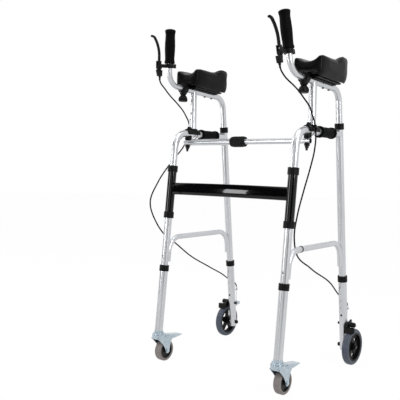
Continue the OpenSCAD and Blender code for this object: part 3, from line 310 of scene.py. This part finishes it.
@dataclass(frozen=True)
class TwoPartFinish(Finish):
    """A piece made of two materials: inside the mask it takes the second colour.

    The mask is a round core about an axle along X, or everything behind a given Y.
    """

    core: str = "#0D0D0E"
    axle: tuple[float, float] = (0.0, 0.0)
    radius: float = 0.0
    behind: Optional[float] = None
    core_is_metal: bool = False

    def mask(self, tree: Tree, place: Socket) -> Socket:
        """One inside the second material.

        Args:
            tree: the material's nodes.
            place: coordinates on the piece.

        Returns:
            The value socket.
        """
        split = add_node(tree, "ShaderNodeSeparateXYZ", inputs={0: place})
        if self.behind is not None:
            return add_node(tree, "ShaderNodeMath", {"operation": "GREATER_THAN"},
                            {0: split.outputs[1], 1: self.behind * MM}).outputs[0]
        flat = add_node(tree, "ShaderNodeCombineXYZ",
                        inputs={1: split.outputs[1], 2: split.outputs[2]})
        reach = add_node(tree, "ShaderNodeVectorMath", {"operation": "DISTANCE"},
                         {0: flat.outputs[0], 1: (0.0, self.axle[0] * MM, self.axle[1] * MM)})
        return add_node(tree, "ShaderNodeMath", {"operation": "LESS_THAN"},
                        {0: reach.outputs["Value"], 1: self.radius * MM}).outputs[0]

    def colour(self, tree: Tree, place: Socket, cloud: Socket) -> Socket:
        """Outer colour, with the core colour inside the mask.

        Args:
            tree: the material's nodes.
            place: coordinates on the piece.
            cloud: the soft pattern.

        Returns:
            The colour socket.
        """
        outer = super().colour(tree, place, cloud)
        both = add_node(tree, "ShaderNodeMix", {"data_type": "RGBA"},
                        {"Factor": self.mask(tree, place), MIX_FIRST: outer,
                         MIX_SECOND: linear(self.core)})
        return both.outputs[MIX_RESULT]

    def plate(self, tree: Tree, place: Socket, metallic: Socket) -> None:
        """Make the second material metal where it is one.

        Args:
            tree: the material's nodes.
            place: coordinates on the piece.
            metallic: the shader's socket.
        """
        if self.core_is_metal:
            tree.links.new(self.mask(tree, place), metallic)


# Satin anodised aluminium tube: pale silver, with soft blurred streaks of the room along it.
TUBE = Finish("anodised_aluminium", "#C2C4C7", "#CACCCF", smooth=0.3, rough=0.33,
              cloud_mm=120.0, relief_mm=8.0, relief=0.002, metallic=1.0)
# Stoved gloss enamel on steel: deep black under a clear, slightly rippled coat.
ENAMEL = Finish("gloss_enamel", "#020203", "#040405", smooth=0.12, rough=0.18,
                cloud_mm=40.0, relief_mm=9.0, relief=0.02, coat=0.5, coat_rough=0.05,
                specular=0.05)
# Glass-filled nylon mouldings: black, half matt, with a grain drawn coarse enough to show.
NYLON = Finish("moulded_nylon", "#040405", "#09090A", smooth=0.4, rough=0.52,
               cloud_mm=12.0, relief_mm=2.5, relief=0.2, specular=0.12)
# Grip rubber: dull black that barely shines, with a pebbled skin.
RUBBER = Finish("grip_rubber", "#020203", "#050506", smooth=0.55, rough=0.7,
                cloud_mm=10.0, relief_mm=3.0, relief=0.3, cells=True, specular=0.05)
# Vinyl cover over foam: black hide grain with a soft sheen on its rounded corners.
VINYL = Finish("grained_vinyl", "#040405", "#08080A", smooth=0.27, rough=0.33,
               cloud_mm=30.0, relief_mm=3.0, relief=0.1, cells=True, specular=0.1)
# Bright zinc plate on pressed steel: cool silver, faintly clouded.
ZINC = Finish("zinc_plated_steel", "#A6B2BB", "#BAC6CE", smooth=0.25, rough=0.29,
              cloud_mm=14.0, relief_mm=3.0, relief=0.01, metallic=1.0)
# Black oxide on the steel screws, the wheel bolts and the rear buttons: dark, with a low gleam.
OXIDE = Finish("black_oxide_steel", "#0E0E10", "#17171A", smooth=0.3, rough=0.42,
               cloud_mm=6.0, relief_mm=1.5, relief=0.08, specular=0.2)
# Thermoplastic caster tread: warm grey and matt, on a black core.
TREAD = TwoPartFinish("caster_tread", "#6E6866", "#7A7472", smooth=0.5, rough=0.62,
                      cloud_mm=16.0, relief_mm=2.0, relief=0.12,
                      axle=(-184.86, 37.5), radius=27.98, specular=0.3)
# Polyurethane wheel tread: dark blue grey with a low sheen.
TYRE = Finish("polyurethane_tyre", "#363C48", "#444B58", smooth=0.42, rough=0.55,
              cloud_mm=20.0, relief_mm=2.5, relief=0.12, specular=0.35)
# Nylon brake arm: half-matt black, with the bright zinc-plated lug that the wire hooks into.
BRAKE = TwoPartFinish("nylon_with_zinc_lug", "#060607", "#0B0B0C", smooth=0.4, rough=0.5,
                      cloud_mm=12.0, relief_mm=2.5, relief=0.15, specular=0.15,
                      core="#BCC4CA", behind=240.0, core_is_metal=True)
# PVC cable sheath: black with a thin highlight along it.
SHEATH = Finish("pvc_sheath", "#020203", "#060607", smooth=0.3, rough=0.42,
                cloud_mm=8.0, relief_mm=1.5, relief=0.06, specular=0.08)
# Bright steel of the bare wire, its nipple and the foot ferrule: a light, thin glint.
WIRE = Finish("bright_steel_wire", "#B4B8BC", "#D0D3D6", smooth=0.25, rough=0.35,
              cloud_mm=5.0, relief_mm=1.0, relief=0.2, metallic=1.0)

NODE_FINISH: dict[str, Finish] = {
    "side_frame": TUBE, "arm_frame": TUBE, "grip_rod": TUBE, "front_leg": TUBE,
    "rear_leg": TUBE, "cross_tube": TUBE, "cross_brace": ENAMEL, "sleeve_bushes": NYLON,
    "bar_lock_collar": NYLON, "handle_grip": RUBBER, "hand_grip": RUBBER,
    "arm_fittings": NYLON, "pad_base": NYLON, "lever_bracket": NYLON, "brake_lever": NYLON,
    "clamp_knob": NYLON, "front_leg_collar": NYLON, "rear_leg_collar": NYLON,
    "brake_arm": BRAKE, "rear_hub": NYLON, "frame_bolts": OXIDE, "front_leg_button": ZINC,
    "rear_leg_button": OXIDE, "caster_head": ZINC, "caster_fork": ZINC, "caster_pedal": ZINC,
    "wheel_bolts": OXIDE, "caster_wheel": TREAD, "rear_tyre": TYRE, "forearm_pad": VINYL,
    "brake_cable": SHEATH,
}


@dataclass
class Paintshop:
    """Keeps one material per finish."""

    made: dict[str, bpy.types.Material] = field(default_factory=dict)

    def get(self, finish: Finish) -> bpy.types.Material:
        """The material of a finish, made on first use.

        Args:
            finish: the finish.

        Returns:
            Its one material.
        """
        if finish.name not in self.made:
            self.made[finish.name] = finish.build()
        return self.made[finish.name]

    def dress_nodes(self, nodes: dict[str, bpy.types.Object]) -> None:
        """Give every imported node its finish.

        Args:
            nodes: the frame's objects by node name.
        """
        for name, thing in nodes.items():
            key = name.removeprefix("left_").removeprefix("right_")
            finish = self.get(NODE_FINISH[key])
            for holder in thing.material_slots:
                holder.material = finish
            LOG.info("dressed %s in %s", name, finish.name)


def new_object(name: str, mesh: bpy.types.Mesh, finish: bpy.types.Material) -> bpy.types.Object:
    """Link a finished mesh into the scene.

    Args:
        name: piece name.
        mesh: its mesh in metres, in the shared frame.
        finish: its material.

    Returns:
        The new object.
    """
    mesh.materials.clear()
    mesh.materials.append(finish)
    made = bpy.data.objects.new(name, mesh)
    bpy.context.scene.collection.objects.link(made)
    return made


def mesh_from(made: bmesh.types.BMesh, name: str) -> bpy.types.Mesh:
    """Turn a finished edit mesh into a mesh, and free it.

    Args:
        made: the edit mesh.
        name: mesh name.

    Returns:
        The mesh.
    """
    mesh = bpy.data.meshes.new(name)
    made.to_mesh(mesh)
    made.free()
    return mesh


def smooth_route(points: Sequence[Vector], steps: int) -> list[Vector]:
    """A smooth curve through the points, whose heading leans toward the nearer neighbour.

    Args:
        points: the points to pass through.
        steps: pieces per span.

    Returns:
        The finer run of points.
    """
    spans = [b - a for a, b in zip(points, points[1:])]
    inner = [a * (b.length / a.length) + b * (a.length / b.length)
             for a, b in zip(spans, spans[1:])]
    headings = [way.normalized() for way in (spans[0], *inner, spans[-1])]
    out: list[Vector] = []
    for i, span in enumerate(spans):
        for k in range(steps):
            t = k / steps
            s = 1.0 - t
            chord = points[i] * (s * s * (1 + 2 * t)) + points[i + 1] * (t * t * (3 - 2 * t))
            out.append(chord + (headings[i] * s - headings[i + 1] * t) * (span.length * t * s))
    out.append(points[-1].copy())
    return out


def arc(centre: Vector, axes: tuple[Vector, Vector], radius: float,
        angles: tuple[float, float], steps: int) -> list[Vector]:
    """Points along a part of a circle.

    Args:
        centre: the circle's centre.
        axes: the directions at no turn and at a quarter turn.
        radius: in metres.
        angles: first angle and sweep, in radians.
        steps: pieces of the arc.

    Returns:
        The points, both ends included.
    """
    start, sweep = angles
    turns = [start + sweep * i / steps for i in range(steps + 1)]
    return [centre + (axes[0] * math.cos(t) + axes[1] * math.sin(t)) * radius for t in turns]


def tube_mesh(name: str, path: Sequence[Vector], section: Outline,
              closed: bool = False, up: Vector = AXIS_X) -> bpy.types.Mesh:
    """Sweep a flat section along a path.

    Args:
        name: mesh name.
        path: points in metres.
        section: outline in metres, across and along the carried up direction.
        closed: whether the path is a loop.
        up: direction that the section's second axis starts from.

    Returns:
        A closed mesh with smooth faces.
    """
    made = bmesh.new()
    rings: list[list[bmesh.types.BMVert]] = []
    count, size = len(path), len(section)
    carried = up.copy()
    for i, point in enumerate(path):
        before = path[i - 1] if i or closed else path[0]
        after = path[(i + 1) % count] if i + 1 < count or closed else path[-1]
        heading = (after - before).normalized()
        carried = (carried - heading * carried.dot(heading)).normalized()
        across = heading.cross(carried)
        rings.append([made.verts.new(point + across * a + carried * b) for a, b in section])
    for one, two in zip(rings, rings[1:] + (rings[:1] if closed else [])):
        for j in range(size):
            k = (j + 1) % size
            made.faces.new((one[j], one[k], two[k], two[j])).smooth = True
    if not closed:
        made.faces.new(list(reversed(rings[0])))
        made.faces.new(rings[-1])
    bmesh.ops.recalc_face_normals(made, faces=made.faces)
    return mesh_from(made, name)


def round_section(diameter: float, sides: int) -> Outline:
    """A round outline.

    Args:
        diameter: in millimetres.
        sides: corners of the outline.

    Returns:
        The outline in metres.
    """
    r = diameter * MM / 2
    turns = [math.tau * i / sides for i in range(sides)]
    return [(r * math.cos(t), r * math.sin(t)) for t in turns]


def strap_section(width: float, thick: float) -> Outline:
    """A flat strap outline with eased corners.

    Args:
        width: in millimetres.
        thick: in millimetres.

    Returns:
        The outline in metres.
    """
    w, t, e = width * MM / 2, thick * MM / 2, thick * MM * STRAP_EASE
    return [(-w + e, -t), (w - e, -t), (w, -t + e), (w, t - e),
            (w - e, t), (-w + e, t), (-w, t - e), (-w, -t + e)]


@dataclass
class ForearmPads:
    """The two padded troughs: foam under a vinyl cover, crowned by a short cloth simulation.

    The cover is remeshed and drawn in first. It is held near its base while it swells, and no
    point of it moves further than the cap.
    """

    shop: Paintshop
    nodes: dict[str, bpy.types.Object]
    voxel_mm: float = 3.5
    shrink_mm: float = 1.5
    swell_cap_mm: float = 3.0
    held_mm: float = 12.0
    pressure: float = 3.0
    quality: int = 6
    frames: int = 20
    ease: float = 0.5
    ease_passes: int = 2

    def build(self) -> None:
        """Fill the right pad, mirror it for the left, and put both in place."""
        right = self.puffed(self.nodes[Side.RIGHT.node("forearm_pad")])
        left = right.copy()
        left.transform(Matrix.Scale(-1.0, 4, AXIS_X))
        left.flip_normals()
        for side, mesh in ((Side.RIGHT, right), (Side.LEFT, left)):
            piece = new_object(side.node("pad_cushion"), mesh, self.shop.get(VINYL))
            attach(piece, side.node("side"))
            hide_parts(side.node("forearm_pad"))
            LOG.info("filled %s", piece.name)

    def puffed(self, solid: bpy.types.Object) -> bpy.types.Mesh:
        """Fill a cover of the pad's shape until its faces crown.

        Args:
            solid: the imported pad.

        Returns:
            The mesh of the filled cover.
        """
        cover = new_object("pad_cover_blank", solid.data.copy(), self.shop.get(VINYL))
        grid = cover.modifiers.new("grid", "REMESH")
        grid.mode = "VOXEL"
        grid.voxel_size = self.voxel_mm * MM
        blank = self.baked(cover)
        for corner in blank.vertices:
            corner.co -= corner.normal * self.shrink_mm * MM
        cover.modifiers.clear()
        cover.data = blank
        self.inflate(cover)
        relax = cover.modifiers.new("ease", "SMOOTH")
        relax.factor = self.ease
        relax.iterations = self.ease_passes
        finer = cover.modifiers.new("finer", "SUBSURF")
        finer.levels = finer.render_levels = 1
        mesh = self.baked(cover)
        bpy.data.objects.remove(cover)
        for face in mesh.polygons:
            face.use_smooth = True
        return mesh

    def inflate(self, cover: bpy.types.Object) -> None:
        """Blow the cover up with a short cloth simulation, held where it lies on its base.

        Args:
            cover: the object whose mesh is replaced by the result.
        """
        start = [corner.co.copy() for corner in cover.data.vertices]
        rim = min(co.z for co in start) + self.held_mm * MM
        held = cover.vertex_groups.new(name="base")
        held.add([i for i, co in enumerate(start) if co.z < rim], 1.0, "REPLACE")
        cloth = cover.modifiers.new("fill", "CLOTH")
        cloth.settings.use_pressure = True
        cloth.settings.uniform_pressure_force = self.pressure
        cloth.settings.effector_weights.gravity = 0.0
        cloth.settings.vertex_group_mass = held.name
        cloth.settings.quality = self.quality
        scene = bpy.context.scene
        for frame in range(1, self.frames + 1):
            scene.frame_set(frame)
        blown = self.baked(cover)
        scene.frame_set(1)
        cover.modifiers.clear()
        cap = self.swell_cap_mm * MM
        for corner, rest in zip(blown.vertices, start):
            moved = corner.co - rest
            if moved.length > cap:
                corner.co = rest + moved.normalized() * cap
        cover.data = blown

    @staticmethod
    def baked(thing: bpy.types.Object) -> bpy.types.Mesh:
        """A copy of an object's mesh with its modifiers applied.

        Args:
            thing: the object.

        Returns:
            The new mesh.
        """
        graph = bpy.context.evaluated_depsgraph_get()
        return bpy.data.meshes.new_from_object(thing.evaluated_get(graph))


@dataclass
class BrakeCable:
    """One brake cable: sheath from lever to rear leg, ferrules, and the bare wire.

    The sheath is laid in two lengths that meet at the clip where it is tied. All lengths are
    millimetres.
    """

    side: Side
    shop: Paintshop
    clips: Sequence[Point]
    tied_at: int
    let_go_at: int
    diameter: float = 5.0
    barrel: Point = (-6.5, -236.4, 992.3)
    barrel_below: Point = (-6.1, -235.9, 987.7)
    stop: Point = (0.0, 250.35, 193.35)
    stop_straight: float = 9.65
    lug_z: float = 128.0
    ferrule_d: float = 6.4
    top_ferrule: tuple[float, float] = (1.0, 9.0)
    foot_ferrule: float = 11.0
    wire_d: float = 2.0
    nipple_d: float = 5.5
    nipple: tuple[float, float] = (3.5, 4.0)

    def points(self) -> list[Vector]:
        """Route of the sheath.

        Returns:
            The points from the lever barrel to the stop, in metres.
        """
        x, y, z = self.stop
        above = (x, y, z + self.stop_straight)
        laid = [self.barrel, self.barrel_below, *self.clips, above, self.stop]
        return [self.side.at(*p) for p in laid]

    def build(self) -> None:
        """Lay the sheath in two lengths, then fit its ends."""
        route = self.points()
        fine = smooth_route(route, CABLE_STEPS)
        cut, end = self.tied_at + LEAD_POINTS, len(route) - 1
        upper = self.length("cable_upper", fine[:cut * CABLE_STEPS + 1])
        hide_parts(self.side.node("brake_cable"))
        self.side.node("side")
        self.side.node("grip")
        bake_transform(upper)
        lower = self.length("cable_lower", fine[cut * CABLE_STEPS:end * CABLE_STEPS + 1])
        self.side.node("side")
        self.side.node("rear_extension")
        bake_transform(lower)
        self.fit_ends(route)

    def length(self, name: str, run: list[Vector]) -> bpy.types.Object:
        """One length of sheath.

        Args:
            name: piece name without its side.
            run: its fine run of points.

        Returns:
            The sheath object.
        """
        mesh = tube_mesh(name, run, round_section(self.diameter, SHEATH_SIDES))
        piece = new_object(self.side.node(name), mesh, self.shop.get(SHEATH))
        return piece

    def fit_ends(self, route: list[Vector]) -> None:
        """Crimped ferrules at both ends, and the wire down to the brake arm's lug.

        Args:
            route: the whole route.
        """
        down = (route[1] - route[0]).normalized()
        sunk, reach = self.top_ferrule
        top = [route[0] - down * sunk * MM, route[0] + down * reach * MM]
        self.fit("cable_ferrule_top", top, self.ferrule_d, "grip", SHEATH)
        foot = route[-1]
        crimp = [foot + Vector((0, 0, self.foot_ferrule * MM)), foot]
        self.fit("cable_ferrule_foot", crimp, self.ferrule_d, "rear_extension", WIRE)
        x, y, _ = self.stop
        wire = [foot, self.side.at(x, y, self.lug_z)]
        self.fit("brake_wire", wire, self.wire_d, "rear_extension", WIRE)
        above, below = self.nipple
        nipple = [self.side.at(x, y, self.lug_z + above), self.side.at(x, y, self.lug_z - below)]
        self.fit("wire_nipple", nipple, self.nipple_d, "rear_extension", WIRE)

    def fit(self, name: str, ends: list[Vector], diameter: float, body: str,
            finish: Finish) -> None:
        """A short turned piece with eased rims.

        Args:
            name: piece name without its side.
            ends: its two end points.
            diameter: in millimetres.
            body: the body it rides on, without its side.
            finish: its finish.
        """
        a, b = ends
        run = (b - a).normalized()
        ease = min(RIM_EASE * diameter * MM, (b - a).length * RIM_LIMIT)
        path = [a, a + run * ease, b - run * ease, b]
        mesh = tube_mesh(name, path, round_section(diameter, TURNED_SIDES))
        for ring, centre in ((0, a), (len(path) - 1, b)):
            for corner in mesh.vertices[ring * TURNED_SIDES:(ring + 1) * TURNED_SIDES]:
                corner.co = centre + (corner.co - centre) * RIM_WIDTH
        piece = new_object(self.side.node(name), mesh, self.shop.get(finish))
        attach(piece, self.side.node(body))


@dataclass
class CableTie:
    """A nylon tie drawn round a tube and the cable beside it, with its head and tail.

    All lengths are millimetres.
    """

    name: str
    side: Side
    shop: Paintshop
    tube: Point
    tube_r: float
    cable: Point
    cable_r: float = 2.8
    width: float = 3.6
    thick: float = 1.1
    tail: tuple[Point, ...] = ()
    tube_steps: int = 24
    cable_steps: int = 12
    head_out: float = 1.6
    head_cuts: tuple[float, ...] = (-2.6, -1.9, 1.9, 2.6)
    head_size: tuple[float, float] = (5.2, 4.2)

    def build(self) -> None:
        """Wrap the strap, then add its head and, where it has one, its hanging tail."""
        a, b = self.side.at(*self.tube), self.side.at(*self.cable)
        toward = b - a
        toward.y = 0.0
        gap = toward.length
        ux = toward.normalized()
        uz = AXIS_Y.cross(ux).normalized()
        r1, r2 = (self.tube_r + self.thick / 2) * MM, (self.cable_r + self.thick / 2) * MM
        tilt = math.acos(max(-1.0, min(1.0, (r1 - r2) / gap)))
        loop = arc(a, (ux, uz), r1, (tilt, math.tau - 2 * tilt), self.tube_steps)
        loop += arc(a + ux * gap, (ux, uz), r2, (-tilt, 2 * tilt), self.cable_steps)
        strap = strap_section(self.width, self.thick)
        out = (loop[0] - a).normalized()
        self.place(self.name, tube_mesh(self.name, loop, strap, closed=True, up=out))
        head = loop[-1 - self.cable_steps // 2] + ux * self.head_out * MM
        block = [head + uz * cut * MM for cut in self.head_cuts]
        self.place(self.name + "_head",
                   tube_mesh(self.name, block, strap_section(*self.head_size), up=ux))
        if self.tail:
            run = smooth_route([self.side.at(*p) for p in self.tail], TAIL_STEPS)
            self.place(self.name + "_tail", tube_mesh(self.name, run, strap))

    def place(self, name: str, mesh: bpy.types.Mesh) -> None:
        """Put one piece of the tie on its side frame.

        Args:
            name: piece name without its side.
            mesh: its mesh.
        """
        piece = new_object(self.side.node(name), mesh, self.shop.get(SHEATH))
        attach(piece, self.side.node("side"))


@dataclass(frozen=True)
class SoftBox:
    """A rectangular lamp aimed at the middle of the walker, in metres and watts."""

    name: str
    place: Point
    size: tuple[float, float]
    power: float


@dataclass(frozen=True)
class Card:
    """A dark card standing square to the walker, in metres."""

    name: str
    x: float
    y: float
    half_width: float


SOFT_BOXES = (
    SoftBox("box_left", (-2.8, -0.4, 1.8), (1.0, 1.8), 30.0),
    SoftBox("box_right", (2.6, -0.9, 1.8), (0.4, 1.8), 45.0),
    SoftBox("box_front", (-1.0, -1.9, 0.78), (0.4, 0.7), 12.0),
    SoftBox("box_top", (0.2, -0.2, 3.0), (2.0, 2.0), 26.0))
CARDS = (Card("card_right", 2.36, -1.85, 1.0), Card("card_left", -1.9, -2.9, 1.9))


@dataclass
class Studio:
    """White room and floor, soft boxes, two dark cards, and the camera itself."""

    eye: Vector = Vector((1.20060, -1.77276, 0.68482))
    yaw: float = math.radians(39.1818)
    pitch: float = math.radians(2.9484)
    roll: float = 0.01902
    focal_px: float = 608.973
    image_px: float = 400.0
    sensor_mm: float = 36.0
    aim: Point = (0.0, 0.0, 0.6)
    floor_radius: float = 14.0
    floor_sides: int = 64
    floor_glow: float = 0.975
    room_light: float = 0.55
    card_height: float = 3.2

    def build(self) -> None:
        """Set up camera, floor, world, lights and cards."""
        bpy.context.scene.view_settings.view_transform = "Standard"
        self.camera()
        self.floor()
        self.world()
        self.lights()
        self.cards()

    def heading(self) -> tuple[Vector, Vector, Vector]:
        """Where the camera looks.

        Returns:
            Its forward, right and up directions.
        """
        forward = Vector((-math.sin(self.yaw) * math.cos(self.pitch),
                          math.cos(self.yaw) * math.cos(self.pitch), -math.sin(self.pitch)))
        right = Vector((math.cos(self.yaw), math.sin(self.yaw), 0.0))
        up = right.cross(forward)
        c, s = math.cos(self.roll), math.sin(self.roll)
        return forward, right * c + up * s, up * c - right * s

    def camera(self) -> None:
        """Place the camera where the photograph was taken from."""
        forward, right, up = self.heading()
        lens = bpy.data.cameras.new("camera")
        lens.sensor_width = self.sensor_mm
        lens.lens = self.focal_px / self.image_px * self.sensor_mm
        view = bpy.data.objects.new("camera", lens)
        turn = Matrix((right, up, -forward)).transposed().to_4x4()
        view.matrix_world = Matrix.Translation(self.eye) @ turn
        bpy.context.scene.collection.objects.link(view)
        bpy.context.scene.camera = view

    def floor(self) -> None:
        """A wide pale floor that reads as white paper and keeps a faint shadow."""
        made = bmesh.new()
        bmesh.ops.create_circle(made, cap_ends=True, segments=self.floor_sides,
                                radius=self.floor_radius)
        mesh = mesh_from(made, "floor")
        paper = bpy.data.materials.new("white_paper")
        paper.use_nodes = True
        tree = paper.node_tree
        tree.nodes.clear()
        matte = add_node(tree, "ShaderNodeBsdfDiffuse", inputs={"Color": linear("#F4F4F4")})
        glow = add_node(tree, "ShaderNodeEmission",
                        inputs={"Color": linear("#FFFFFF"), "Strength": 1.0})
        share = add_node(tree, "ShaderNodeMath", {"operation": "MULTIPLY"},
                         {0: self.seen(tree), 1: self.floor_glow})
        both = add_node(tree, "ShaderNodeMixShader",
                        inputs={0: share.outputs[0], 1: matte.outputs[0], 2: glow.outputs[0]})
        add_node(tree, "ShaderNodeOutputMaterial", inputs={"Surface": both.outputs[0]})
        new_object("floor", mesh, paper)

    @staticmethod
    def seen(tree: Tree) -> Socket:
        """One where a ray comes from the camera, a gloss or a clear piece.

        Args:
            tree: the node tree to add to.

        Returns:
            The value socket.
        """
        path = add_node(tree, "ShaderNodeLightPath")
        some = add_node(tree, "ShaderNodeMath", {"operation": "MAXIMUM"},
                        {0: path.outputs["Is Camera Ray"], 1: path.outputs["Is Glossy Ray"]})
        return add_node(tree, "ShaderNodeMath", {"operation": "MAXIMUM"},
                        {0: some.outputs[0], 1: path.outputs["Is Transmission Ray"]}).outputs[0]

    def world(self) -> None:
        """An even white room: white to the eye, softer as a light."""
        made = bpy.data.worlds.new("white_room")
        made.use_nodes = True
        bpy.context.scene.world = made
        tree = made.node_tree
        tree.nodes.clear()
        strength = add_node(tree, "ShaderNodeMapRange", inputs={
            0: self.seen(tree), 1: 0.0, 2: 1.0, 3: self.room_light, 4: 1.0})
        room = add_node(tree, "ShaderNodeBackground",
                        inputs={"Color": linear("#FFFFFF"), "Strength": strength.outputs[0]})
        add_node(tree, "ShaderNodeOutputWorld", inputs={"Surface": room.outputs[0]})

    def lights(self) -> None:
        """A soft box on each side, a small one in front, and one overhead."""
        for box in SOFT_BOXES:
            lamp = bpy.data.lights.new(box.name, "AREA")
            lamp.shape = "RECTANGLE"
            lamp.size, lamp.size_y = box.size
            lamp.energy = box.power
            held = bpy.data.objects.new(box.name, lamp)
            toward = Vector(self.aim) - Vector(box.place)
            held.location = box.place
            held.rotation_euler = toward.to_track_quat("-Z", "Y").to_euler()
            bpy.context.scene.collection.objects.link(held)

    def cards(self) -> None:
        """Two tall dark cards, seen only as the dark streaks in polished pieces."""
        felt = bpy.data.materials.new("black_felt")
        felt.use_nodes = True
        shader = felt.node_tree.nodes["Principled BSDF"]
        shader.inputs["Base Color"].default_value = linear("#2A2A2C")
        shader.inputs["Roughness"].default_value = 1.0
        for card in CARDS:
            foot = Vector((card.x, card.y, 0.0))
            across = Vector((-card.y, card.x, 0.0)).normalized()
            half, high = card.half_width, self.card_height
            made = bmesh.new()
            corners = [foot + across * a + Vector((0.0, 0.0, b))
                       for a, b in ((-half, 0.0), (half, 0.0), (half, high), (-half, high))]
            made.faces.new([made.verts.new(c) for c in corners])
            stood = new_object(card.name, mesh_from(made, card.name), felt)
            stood.visible_camera = stood.visible_diffuse = stood.visible_shadow = False


# Clips of both cables, outward, rearward and upward in millimetres, from lever to rear leg.
RIGHT_CLIPS = (
    (-1, -216, 961), (0, -195, 951), (1, -169, 941), (3, -135, 924), (6, -112, 907),
    (10, -89, 888), (17, -73, 854), (20, -63, 828), (21, -58, 790), (17, -58, 746), (9, -68, 690),
    (2, -90, 624), (-6, -112, 546), (-13, -116, 483), (-15, -100, 428), (-15, -2, 365),
    (-17, 148, 294), (-20, 214, 247))
LEFT_CLIPS = (
    (-1, -201, 957), (0, -173, 937), (2, -138, 917), (7, -97, 893), (12, -74, 876),
    (17, -50, 851), (22, -38, 818), (22, -70, 768), (23, -141, 703), (27, -203, 632),
    (30, -236, 566), (27, -208, 494), (20, -174, 450), (16, -118, 414), (16, -32, 359),
    (18, 95, 299), (20, 205, 246))
# Radii the ties lie on, and the hanging tail of the tie on the right seat rail, in millimetres.
HANDLE_TIE_R, RAIL_TIE_R = 17.3, 9.6
RAIL_TAIL = ((-16.5, -99.0, 426.0), (-17.5, -112.0, 416.0), (-17.0, -128.0, 402.0),
             (-16.5, -133.0, 356.0))


def ties(shop: Paintshop) -> list[CableTie]:
    """The ties that hold both cables to the side handles and to the right seat rail.

    Args:
        shop: the finishes.

    Returns:
        The ties, ready to build.
    """
    return [CableTie("tie_handle", Side.RIGHT, shop, tube=(0.0, -61.0, 811.0),
                     tube_r=HANDLE_TIE_R, cable=(20.6, -61.0, 815.0)),
            CableTie("tie_handle", Side.LEFT, shop, tube=(0.0, -40.0, 811.0),
                     tube_r=HANDLE_TIE_R, cable=(22.0, -40.0, 815.0)),
            CableTie("tie_rail", Side.RIGHT, shop, tube=(0.0, -97.0, 438.0),
                     tube_r=RAIL_TIE_R, cable=(-15.0, -97.0, 426.0), tail=RAIL_TAIL)]


def main() -> None:
    """Build and dress the walker."""
    logging.basicConfig(level=logging.INFO, format="%(name)s: %(message)s")
    bpy.ops.wm.read_factory_settings(use_empty=True)
    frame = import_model()
    shop = Paintshop()
    Studio().build()
    BrakeCable(Side.RIGHT, shop, RIGHT_CLIPS, tied_at=7, let_go_at=14).build()
    BrakeCable(Side.LEFT, shop, LEFT_CLIPS, tied_at=6, let_go_at=13).build()
    for tie in ties(shop):
        tie.build()
    shop.dress_nodes(frame["nodes"])
    ForearmPads(shop, frame["nodes"]).build()


if __name__ == "__main__":
    main()
